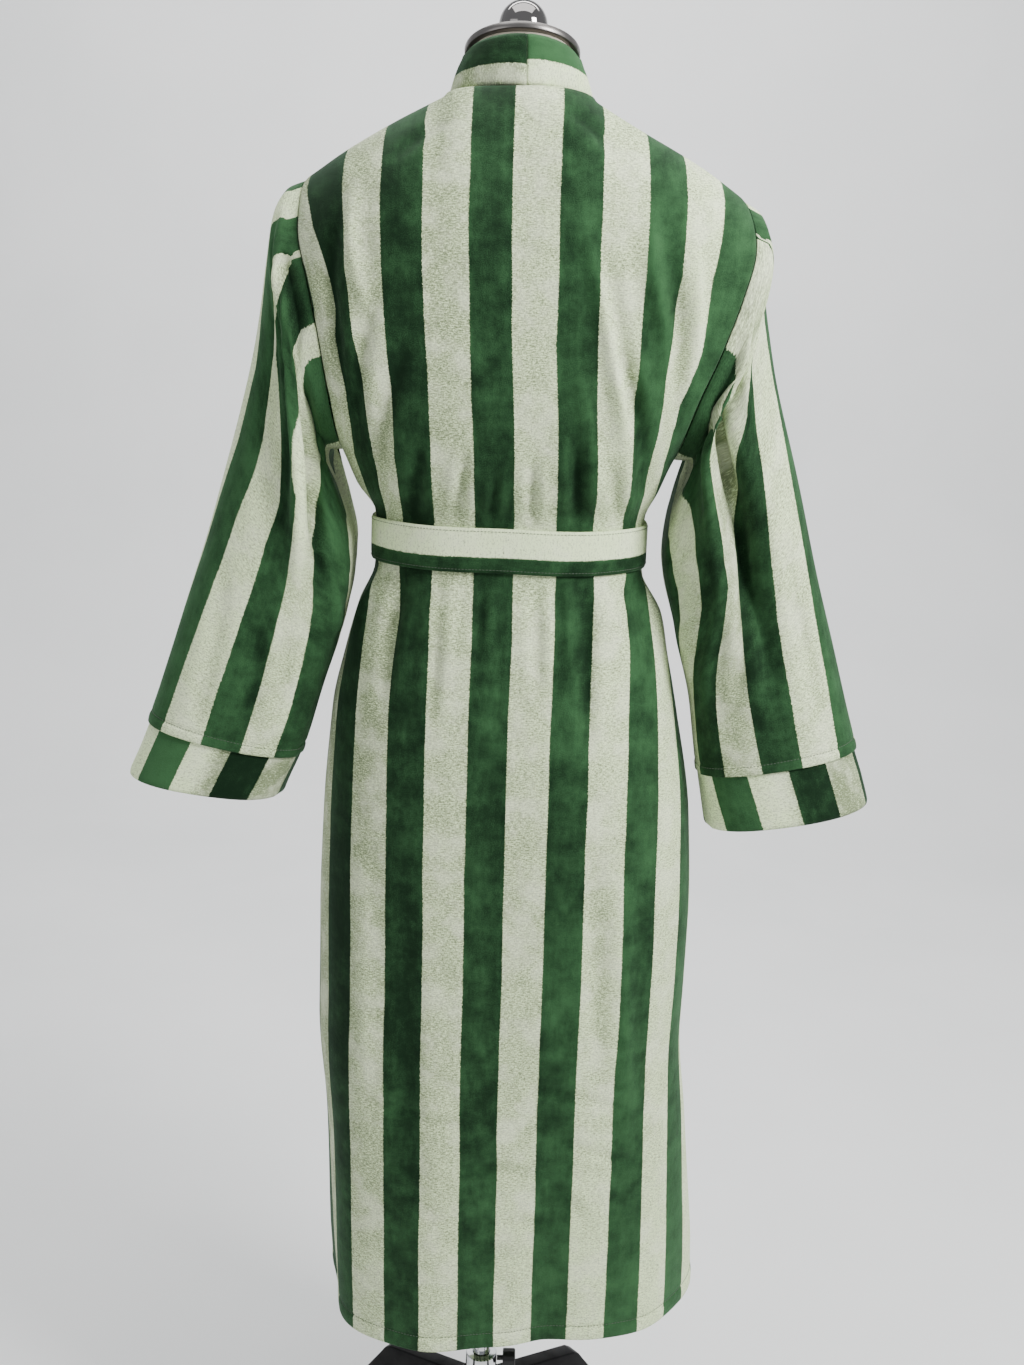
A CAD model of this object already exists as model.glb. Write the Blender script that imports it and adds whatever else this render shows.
"""Looks of a striped velvet kimono robe on a limbless dress form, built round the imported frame.

Cloth pieces are worked out in millimetres on fine grids that follow the solid parts, with seams,
hems and creases of their own. Objects are made in metres, in the frame's own axes: +Z up, +Y the
back of the robe, +X the wearer's left.
"""

import logging
import math
from dataclasses import dataclass, field, replace
from enum import Enum

import bmesh
import bpy
import numpy as np
from mathutils import Matrix, Vector

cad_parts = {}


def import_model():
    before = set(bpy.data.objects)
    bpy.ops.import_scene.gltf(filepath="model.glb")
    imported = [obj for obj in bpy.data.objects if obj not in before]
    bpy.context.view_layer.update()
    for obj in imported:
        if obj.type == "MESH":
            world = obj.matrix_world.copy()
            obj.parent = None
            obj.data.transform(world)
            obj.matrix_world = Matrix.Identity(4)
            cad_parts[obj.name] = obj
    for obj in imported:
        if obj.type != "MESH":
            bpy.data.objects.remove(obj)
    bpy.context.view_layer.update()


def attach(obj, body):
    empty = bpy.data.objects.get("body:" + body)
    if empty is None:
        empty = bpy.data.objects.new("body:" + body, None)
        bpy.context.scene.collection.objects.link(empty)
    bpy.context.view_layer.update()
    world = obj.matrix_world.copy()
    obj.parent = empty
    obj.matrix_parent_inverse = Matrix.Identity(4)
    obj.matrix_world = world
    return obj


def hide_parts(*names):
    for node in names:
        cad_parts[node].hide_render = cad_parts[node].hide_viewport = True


LOG = logging.getLogger("robe")
MM = 0.001
Array = np.ndarray
Socket = bpy.types.NodeSocket
Colour = tuple[float, float, float] | Socket

CLOTH = 2.0
BAND_CLOTH = 3.0
SEAM_GAP = 0.35
UNDER_LAYER, UNDER_RAMP, UNDER_LEAD = 7.5, 30.0, 8.0
HEM, ARMPIT = 345.0, 1290.0
BACK_BULGE, FRONT_BULGE = 1450.0, 1400.0
BELT_LOW, BELT_HIGH = 1180.0, 1224.0
NECK_RADIUS, NECK_SEAM, NECK_TILT_BACK, FRONT_NECK_DROP = 72.0, 1631.0, 3.0, 50.0
BAND_WIDTH, BAND_TOP_RADIUS, BAND_TOP_BACK = 48.0, 56.0, 62.0
BAND_TOP_SIDE, BAND_TOP_RISE, BAND_BELLY, BAND_SEAM_AZIMUTH = 1668.0, 13.0, 1.5, 94.5
STAND_FROM, STAND_GAP, STAND_LEAN, STAND_OUT = 1566.0, 0.8, 0.34, 0.16
BACK_COLUMNS, SHOULDER_COLUMNS, NECK_COLUMNS = 28, 9, 5
YOKE_CROWDING = 1.6
YOKE_ROUND_MIDDLE, YOKE_ROUND_SIDE, YOKE_ROUND_REACH = 1.6, 2.3, 80.0
GATHER_PEAK, GATHER_LENGTH = 1140.0, 40.0
SLEEVE_SQUARE, ARMHOLE_FADE, ARMHOLE_KICK, KICK_PEAK = 2.3, 0.3, 6.0, 0.04
CUFF_START = 0.97
SLEEVE_HEM_ROWS_FROM, SLEEVE_HEM_ROWS = 0.955, 16
HEM_ROWS_HEIGHT, HEM_ROW = 28.0, 1.8
HEM_STITCH, HEM_SINK, HEM_SWELL, HEM_FLAT = 17.0, 0.9, 0.6, 60.0
SEAM_FADE, BAND_FADE = 30.0, 24.0
SLEEVE_STITCH, SLEEVE_SINK = 10.5, 0.8
BELT_STITCH, BELT_EASE, BELT_TOP_STRIPE, TAIL_WIDTH = 3.4, 1.1, 52.6, 44.0
KNOT_HALF, KNOT_DEEP, KNOT_SQUARE, KNOT_PLACE = 26.0, 13.0, 2.8, 18.0
THREAD_LIFT = 0.25
# Stripe repeat and the width of its dark stripe on the flat cloth.
PERIOD, DARK = 81.2, 39.5


class Side(Enum):
    """Side of the wearer."""

    LEFT = 1
    RIGHT = -1

    @property
    def label(self) -> str:
        """Name used in tables and pieces."""
        return self.name.lower()


class Body(Enum):
    """Moving bodies of the frame."""

    BASE = "base"
    MAST = "mast"
    KNOB = "knob"


class Table:
    """Named columns of numbers, read between rows along a curve that never overshoots."""

    def __init__(self, names: str, *rows: tuple[float, ...]) -> None:
        """Sorts the rows by the first column.

        Args:
            names: Column names, separated by spaces.
            rows: One tuple of numbers a row.
        """
        data = np.array(sorted(rows), float)
        self.place = data[:, 0]
        self.columns = {name: data[:, i] for i, name in enumerate(names.split())}

    def read(self, column: str, place: Array | float) -> Array:
        """Values of a column.

        Args:
            column: Name of the column.
            place: Where to read, in the first column's units.

        Returns:
            The values at those places.
        """
        x, y = self.place, self.columns[column]
        at = np.clip(np.asarray(place, float), x[0], x[-1])
        rise = np.diff(y) / np.diff(x)
        slope = np.empty_like(y)
        slope[0], slope[-1] = rise[0], rise[-1]
        before, after = rise[:-1], rise[1:]
        same = before * after > 0
        total = np.where(same, before + after, 1.0)
        slope[1:-1] = np.where(same, 2 * before * after / total, 0.0)
        i = np.clip(np.searchsorted(x, at, side="left") - 1, 0, len(x) - 2)
        h = x[i + 1] - x[i]
        t = (at - x[i]) / h
        return (
            (1 + 2 * t) * (1 - t) ** 2 * y[i]
            + t * (1 - t) ** 2 * h * slope[i]
            + t**2 * (3 - 2 * t) * y[i + 1]
            - t**2 * (1 - t) * h * slope[i + 1]
        )


BODY_RINGS = Table(
    "z left right back front mid square_left square_right",
    (345, 172, 252, 150, 137, -38, 4.2, 2.3),
    (425, 176, 243, 150, 136, -34, 4.0, 2.4),
    (555, 181, 228, 149, 134, -27, 3.8, 2.5),
    (680, 190, 213, 147, 132, -20, 3.5, 2.7),
    (800, 190, 214, 145, 130, -15, 3.3, 2.8),
    (915, 187, 207, 143, 127, -10, 3.1, 2.8),
    (1028, 179, 186, 137, 122, -6, 2.9, 2.8),
    (1080, 168, 175, 131, 118, -4, 2.8, 2.7),
    (1135, 153, 160, 121, 111, -2, 2.6, 2.6),
    (1176, 137, 142, 105, 101, 0, 2.5, 2.5),
    (1228, 137, 142, 105, 101, 0, 2.5, 2.5),
    (1258, 155, 154, 121, 112, 6, 2.6, 2.6),
    (1290, 168, 166, 132, 117, 14, 2.8, 2.8),
    (1350, 204, 209, 140, 120, 4, 3.0, 3.0),
    (1400, 222, 246, 142, 118, 0, 2.9, 2.9),
    (1450, 230, 256, 142, 116, 0, 2.8, 2.8),
)
# Facing in degrees from the pole, spread, reach at the hem, and the height where it starts.
SKIRT_FOLDS = (
    (74, 12, 12, 980), (112, 10, -11, 900), (140, 9, 6, 860), (32, 8, -5, 800),
    (12, 8, 7, 1000), (176, 9, -8, 1000), (203, 10, 10, 960), (228, 10, -10, 900),
    (254, 9, 6, 820), (326, 10, -8, 900), (348, 9, 5, 820),
)
# Facing, spread and reach of the gathers under the belt.
BELT_GATHERS = (
    (22, 5, 5), (42, 5, -4), (60, 5, 4), (118, 5, -4), (134, 5, 5), (150, 5, -4),
    (166, 5, 5), (208, 6, 4), (226, 5, -4), (330, 6, 4),
)
SHOULDER = Table(
    "x left right",
    (72, 1631, 1631),
    (120, 1606, 1605),
    (172, 1576, 1577),
    (209, 1551, 1554),
    (250, 1520, 1524),
)
ARMHOLE = Table(
    "down left right",
    (0, 209, 222),
    (0.19, 208, 229),
    (0.38, 196, 217),
    (0.57, 185, 200),
    (0.79, 175, 179),
    (1, 168, 166),
)
FRONT_EDGE = Table(
    "z past",
    (345, 60), (700, 56), (1176, 52), (1228, 52), (1290, 42), (1350, 25), (1400, 8),
    (1450, -9), (1500, -26), (1560, -46), (1590, -57), (1615, -67), (1631, -72),
)
SLEEVE_NAMES = "along over_x over_z under_x under_z mid_y depth"
SLEEVE = {
    Side.LEFT: Table(
        SLEEVE_NAMES,
        (0, 209, 1551, 168, 1290, 3, 190),
        (0.04, 219, 1542, 177, 1289, 3, 191),
        (0.1, 231, 1524, 179, 1279, 4, 189),
        (0.22, 244, 1476, 168, 1246, 8, 176),
        (0.4, 262, 1375, 154, 1190, 16, 158),
        (0.6, 297, 1232, 162, 1128, 27, 138),
        (0.8, 333, 1113, 184, 1050, 38, 124),
        (1, 367, 1009, 206, 976, 46, 116),
    ),
    Side.RIGHT: Table(
        SLEEVE_NAMES,
        (0, 222, 1545, 166, 1290, 3, 190),
        (0.04, 230, 1534, 176, 1289, 3, 191),
        (0.1, 238, 1515, 178, 1279, 4, 189),
        (0.22, 245, 1468, 168, 1246, 8, 176),
        (0.4, 262, 1385, 160, 1188, 16, 158),
        (0.6, 301, 1245, 174, 1124, 27, 138),
        (0.8, 340, 1108, 194, 1046, 38, 124),
        (1, 371, 1005, 205, 971, 46, 116),
    ),
}
CUFF_END = {
    Side.LEFT: dict(over_x=388, over_z=953, under_x=227, under_z=932, mid_y=48, depth=116),
    Side.RIGHT: dict(over_x=388, over_z=947, under_x=218, under_z=913, mid_y=48, depth=116),
}
# Place round the tube, drift, spread, reach, and the shares of the length where it starts and ends.
SLEEVE_FOLDS = {
    Side.LEFT: (
        (0.37, -0.03, 0.045, -30, 0.03, 0.5), (0.27, 0.02, 0.04, 11, 0.08, 0.6),
        (0.14, 0.03, 0.04, -11, 0.1, 0.55), (0.63, 0.02, 0.045, -24, 0.04, 0.5),
        (0.75, 0, 0.05, 9, 0.1, 0.7), (0.86, -0.02, 0.04, -9, 0.12, 0.5),
    ),
    Side.RIGHT: (
        (0.39, -0.02, 0.04, -28, 0.03, 0.48), (0.33, -0.02, 0.035, 12, 0.08, 0.75),
        (0.25, -0.01, 0.035, -20, 0.1, 0.85), (0.17, 0, 0.04, 9, 0.1, 0.7),
        (0.62, 0.02, 0.045, -24, 0.04, 0.5), (0.8, -0.02, 0.045, -12, 0.1, 0.75),
    ),
}
# Where the edge just to the wearer's right of the back's middle stripe lies, by height.
STRIPE_EDGE = Table(
    "z middle",
    (345, -13.5), (475, -11.8), (547, -11.3), (616, -10), (685, -9.3), (748, -9.8), (811, -9.4),
    (874, -8.5), (935, -8.1), (995, -7.7), (1055, -7.9), (1110, -8.4), (1176, -8.3), (1631, -8),
)
# Where the stripe edges cross the upper back, by height, from the wearer's left to the right; one
# edge lies every stripe's width on the flat cloth.
YOKE_EDGES = {
    1225: (134, 121, 103.5, 70.6, 31, -7.2, -48.5, -85, -115, -129, -142, -156),
    1258: (141.6, 125.7, 105.7, 72, 31.8, -6.2, -48.2, -85.8, -118.6, -134, -148, -166),
    1290: (150, 131.5, 109, 73.6, 33, -5.8, -47, -84, -118.5, -137, -151, -176),
    1320: (152, 134.5, 110, 75.1, 34.4, -4.4, -45.7, -82.2, -118, -141, -156, -184),
    1346: (155.3, 137.8, 112, 76.4, 36.4, -3.1, -44, -80.8, -117.5, -143.5, -161, -193),
    1373: (163, 143, 114.9, 78, 37.6, -1.5, -42.7, -80.7, -118.3, -144, -170, -204),
    1398: (168.5, 147.7, 117.4, 80.2, 38.9, -0.4, -41.1, -79.6, -118.3, -147, -177, -214),
    1425: (169, 151.2, 119.6, 82, 40.4, 1, -41.3, -78.9, -119.2, -150.8, -180, -222),
    1462: (177, 157, 122.5, 84.1, 41.6, 2.2, -40.5, -78, -120.6, -155, -183, -232),
    1498: (190, 158, 124.3, 85.4, 43, 3.4, -39.5, -78.4, -120.7, -156.2, -190.3, -238),
    1533: (199.7, 162.6, 125.5, 86.4, 43.5, 4.2, -39, -79, -121.7, -157.8, -194.5, -242),
    1609: (205, 165, 126, 87.1, 43.6, 4.4, -40, -78.7, -122, -158, -195, -242),
}
FORM_RINGS = Table(
    "step z side back front slope",
    (0, 880, 150, 104, 92, 0), (1, 892, 163, 116, 103, 0), (2, 960, 168, 121, 106, 0),
    (3, 1040, 157, 114, 102, 0), (4, 1120, 133, 99, 93, 0), (5, 1200, 121, 90, 86, 0),
    (6, 1270, 130, 96, 97, 0), (7, 1350, 147, 103, 109, 0), (8, 1430, 160, 108, 103, 0),
    (9, 1500, 174, 104, 88, 0), (10, 1540, 180, 92, 74, 0), (11, 1563.5, 177, 78, 62, 0),
    (12, 1575.1, 168, 64, 50, 0), (13, 1588.1, 146, 54, 42, 0), (14, 1602.8, 118, 47, 38, 0),
    (15, 1615.4, 94, 42, 34, 0), (16, 1623.4, 76, 40, 32, 0), (17, 1630, 62, 43, 38, 0.02),
    (18, 1645, 53, 47, 46, 0.1), (19, 1671, 49, 48, 48, 0.29),
)
FORM_SQUARE = 2.25
# Where the stripe edges lie round a sleeve from its over line toward the back, by the distance down
# from the armhole, and where the first of them lies on the flat cloth, counted in edges.
SLEEVE_EDGES = {
    Side.LEFT: {
        10: (88, 126, 129, 196, 224, 330), 30: (68, 108, 142, 196, 230, 330),
        45: (56, 98, 136, 194, 234, 330), 60: (50, 97, 112, 192, 238, 326),
        70: (50, 101, 104, 190, 240, 322), 110: (50, 98, 101, 172, 236, 306),
        125: (54, 94, 109, 166, 226, 294), 150: (56, 91, 118, 160, 214, 280),
        165: (52, 90, 123, 157, 206, 270), 185: (49, 90, 126, 158, 198, 260),
        215: (46, 85, 127, 152, 184, 245), 265: (34, 73, 113, 144, 175, 241),
        330: (23, 63, 105, 139, 174, 236), 430: (14, 54, 98, 138, 173, 229),
        530: (8, 48, 97, 138, 172, 228),
    },
    Side.RIGHT: {
        10: (88, 88.5, 89, 203, 336, 380), 24: (78, 90, 92, 206, 334, 377),
        60: (62, 103, 106, 210, 318, 362), 100: (50, 107, 110, 211, 286, 332),
        130: (44, 104, 119, 207, 262, 306), 165: (42, 101, 142, 198, 240, 282),
        215: (44, 99, 150, 181, 220, 256), 260: (46, 98, 147, 168, 206, 240),
        310: (48, 96, 140, 168, 203, 238), 400: (51, 95, 137, 172, 206, 242),
        520: (56, 97, 138, 178, 212, 248),
    },
}
FIRST_EDGE = {Side.LEFT: 0, Side.RIGHT: 1}
# Lie of the pile, 0 for dark to 1 for bright; a cuff's from its over line to its back.
SLEEVE_NAP = {Side.LEFT: 0.55, Side.RIGHT: 0.42}
CUFF_NAP = {Side.LEFT: (0.85, 0.02), Side.RIGHT: (0.05, 0.72)}
BAND_NAP = {Side.LEFT: 0.16, Side.RIGHT: 0.78}
# How a crease's height turns the pile, and how much the body's creases are deepened.
PILE_TURN, CREASING = 0.05, 1.35
# Where the stripes lie from a cuff's over line, and from the neckband's seam, in millimetres.
CUFF_STRIPES = {Side.LEFT: -44.0, Side.RIGHT: -68.0}
BAND_STRIPES = {Side.LEFT: 58.5, Side.RIGHT: 63.0}


def smooth(value: Array | float, low: float, high: float) -> Array:
    """Smooth step from 0 at low to 1 at high."""
    t = np.clip((np.asarray(value, float) - low) / (high - low), 0, 1)
    return t * t * (3 - 2 * t)


def bell(value: Array | float, spread: float) -> Array:
    """Bell curve that is 1 at 0 and has fallen to 1/e at the spread."""
    return np.exp(-((np.asarray(value, float) / spread) ** 2))


def lerp(a: Array | float, b: Array | float, t: Array | float) -> Array:
    """Straight mix that is a at 0 and b at 1."""
    return a + (np.asarray(b, float) - a) * t


def squared_radius(angle: Array, a: Array, b: Array, square: Array | float) -> Array:
    """Radius of a squared ellipse, where a square of 2 gives a plain one."""
    across = np.abs(np.cos(angle) / a) ** square
    along = np.abs(np.sin(angle) / b) ** square
    return (across + along) ** (-1 / square)


def unit(vectors: Array) -> Array:
    """Vectors scaled to length 1 along the last axis."""
    return vectors / np.maximum(np.linalg.norm(vectors, axis=-1, keepdims=True), 1e-9)


def ripple(x: Array, z: Array, amount: float, longest: float, seed: int) -> Array:
    """Gentle unevenness of hanging cloth.

    Args:
        x: Place across, in millimetres.
        z: Place down, in millimetres.
        amount: Usual height of the waves.
        longest: Longest wavelength.
        seed: Fixed seed of the waves.

    Returns:
        Heights in millimetres.
    """
    rng = np.random.default_rng(seed)
    total = np.zeros_like(x)
    for _ in range(9):
        turn, phase = rng.uniform(0, math.pi), rng.uniform(0, 2 * math.pi)
        wave = longest * rng.uniform(0.25, 1.0)
        place = x * math.cos(turn) + 0.45 * z * math.sin(turn)
        total += np.sin(2 * math.pi * place / wave + phase) * wave / longest
    return total * amount / 2.2


class RobeShape:
    """Form of the robe's body, worked out from the tables."""

    def ring(self, z: Array, x: Array) -> tuple[Array, Array, Array, Array, Array]:
        """Sizes of the body ring at a height on the side where x lies.

        Args:
            z: Heights.
            x: Places across; only the sign counts.

        Returns:
            Half-width, squareness, back, front and middle.
        """
        left = np.asarray(x) >= 0
        half = np.where(left, BODY_RINGS.read("left", z), BODY_RINGS.read("right", z))
        square = np.where(
            left, BODY_RINGS.read("square_left", z), BODY_RINGS.read("square_right", z)
        )
        back, front, mid = (BODY_RINGS.read(name, z) for name in ("back", "front", "mid"))
        return half, square, back, front, mid

    def fold_reach(self, degrees: Array, z: Array) -> Array:
        """How far skirt folds and belt gathers push the cloth out.

        Args:
            degrees: Directions from the pole.
            z: Heights.

        Returns:
            Reach in millimetres.
        """
        reach = np.zeros(np.broadcast(degrees, z).shape)
        for facing, spread, size, start in SKIRT_FOLDS:
            grown = np.clip((start - z) / (start - HEM), 0, 1) ** 1.3
            reach += size * grown * bell((degrees - facing + 540) % 360 - 180, spread)
        for facing, spread, size in BELT_GATHERS:
            grown = bell(z - GATHER_PEAK, GATHER_LENGTH) * smooth(BELT_LOW - 2 - z, 0, 18)
            reach += size * grown * bell((degrees - facing + 540) % 360 - 180, spread)
        return reach

    def ring_point(self, degrees: Array, z: Array) -> Array:
        """Points below the armpits in directions from the pole.

        Args:
            degrees: Directions.
            z: Heights.

        Returns:
            Points.
        """
        degrees, z = np.broadcast_arrays(np.asarray(degrees, float), np.asarray(z, float))
        angle = np.radians(degrees)
        half, square, back, front, mid = self.ring(z, np.cos(angle))
        deep = np.where(np.sin(angle) >= 0, back - mid, front + mid)
        radius = squared_radius(angle, half, deep, square) + self.fold_reach(degrees, z)
        return np.stack([radius * np.cos(angle), mid + radius * np.sin(angle), z], -1)

    def front_facing(self, x: Array, z: Array) -> Array:
        """Directions in which the front of the rings passes an x.

        Args:
            x: Places across.
            z: Heights.

        Returns:
            Degrees from 180 to 360.
        """
        half, square, _, front, mid = self.ring(z, x)
        share = np.clip(1 - np.minimum(1, np.abs(x) / half) ** square, 0, 1)
        y = -(front + mid) * share ** (1 / square)
        return (np.degrees(np.arctan2(y, x)) + 360) % 360

    def yoke_top(self, x: Array, face: int) -> tuple[Array, Array]:
        """Highest place of the yoke above an x.

        Args:
            x: Places across.
            face: 1 on the back, -1 on the front.

        Returns:
            Y and Z of the shoulder line or of the neck.
        """
        out = np.abs(x)
        y = np.sqrt(np.maximum(NECK_RADIUS**2 - out**2, 0))
        if face > 0:
            drop = NECK_TILT_BACK * y / NECK_RADIUS
        else:
            drop = -FRONT_NECK_DROP * (y / NECK_RADIUS) ** 2
        line = np.where(
            np.asarray(x) >= 0, SHOULDER.read("left", out), SHOULDER.read("right", out)
        )
        shoulder = out >= NECK_RADIUS
        return np.where(shoulder, 0, face * y), np.where(shoulder, line, NECK_SEAM + drop)

    def yoke_point(self, x: Array, z: Array, face: int) -> Array:
        """Points of the yoke above the armpits.

        Args:
            x: Places across.
            z: Heights.
            face: 1 on the back, -1 on the front.

        Returns:
            Points.
        """
        x, z = np.broadcast_arrays(np.asarray(x, float), np.asarray(z, float))
        level = BACK_BULGE if face > 0 else FRONT_BULGE
        half, square, back, front, mid = self.ring(np.minimum(z, level), x)
        deep = back - mid if face > 0 else front + mid
        width = np.clip(1 - np.minimum(1, np.abs(x) / half) ** square, 0, 1)
        low = mid + face * deep * width ** (1 / square)
        top_y, top_z = self.yoke_top(x, face)
        power = lerp(YOKE_ROUND_MIDDLE, YOKE_ROUND_SIDE, smooth(np.abs(x), 0, YOKE_ROUND_REACH))
        down = np.clip((top_z - z) / (top_z - level), 0, 1)
        out = (1 - (1 - down) ** power) ** (1 / power)
        y = np.where(z <= level, low, lerp(top_y, low, out))
        return np.stack([x, y, z], -1)

    def seam_reach(self, z: Array) -> Array:
        """Distance past the pole of the seam between a front panel and its neckband."""
        return FRONT_EDGE.read("past", z)

    def under_shift(self, x: Array, z: Array) -> Array:
        """How far the under layer lies behind the over layer."""
        edge = self.seam_reach(z) + BAND_WIDTH + UNDER_LEAD
        return UNDER_LAYER * smooth(edge + UNDER_RAMP + x, 0, UNDER_RAMP)

    def front_point(self, x: Array, z: Array, under: bool) -> Array:
        """Points of the closed front.

        Args:
            x: Places across.
            z: Heights.
            under: Whether on the under layer.

        Returns:
            Points.
        """
        x, z = np.broadcast_arrays(np.asarray(x, float), np.asarray(z, float))
        high = self.yoke_point(x, z, -1)
        low = self.ring_point(self.front_facing(x, z), z)
        point = np.where((z > ARMPIT)[..., None], high, low)
        if under:
            point[..., 1] += self.under_shift(x, z)
        return point


SHAPE = RobeShape()


@dataclass(frozen=True)
class Crease:
    """Soft trough or ridge along a line across a piece, in the piece's own millimetres.

    Attributes:
        start: Place across and down where it starts.
        end: Place where it ends.
        width: Half of its width.
        reach: Height at its middle; negative pushes the cloth in.
        bow: How far the line bends sideways at its middle.
    """

    start: tuple[float, float]
    end: tuple[float, float]
    width: float
    reach: float
    bow: float = 0.0

    def height(self, x: Array, z: Array) -> Array:
        """Heights that the crease adds.

        Args:
            x: Places across.
            z: Places down or up.

        Returns:
            Heights in millimetres.
        """
        (x0, z0), (x1, z1) = self.start, self.end
        length = math.hypot(x1 - x0, z1 - z0)
        along = ((x - x0) * (x1 - x0) + (z - z0) * (z1 - z0)) / length**2
        side = ((x - x0) * (z1 - z0) - (z - z0) * (x1 - x0)) / length
        t = np.clip(along, 0, 1)
        side = side - self.bow * 4 * t * (1 - t)
        taper = np.sin(math.pi * t) ** 0.7
        middle = bell(side, self.width)
        shoulder = bell(np.abs(side) - 2.1 * self.width, self.width)
        return self.reach * taper * (middle - 0.28 * shoulder)


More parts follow.
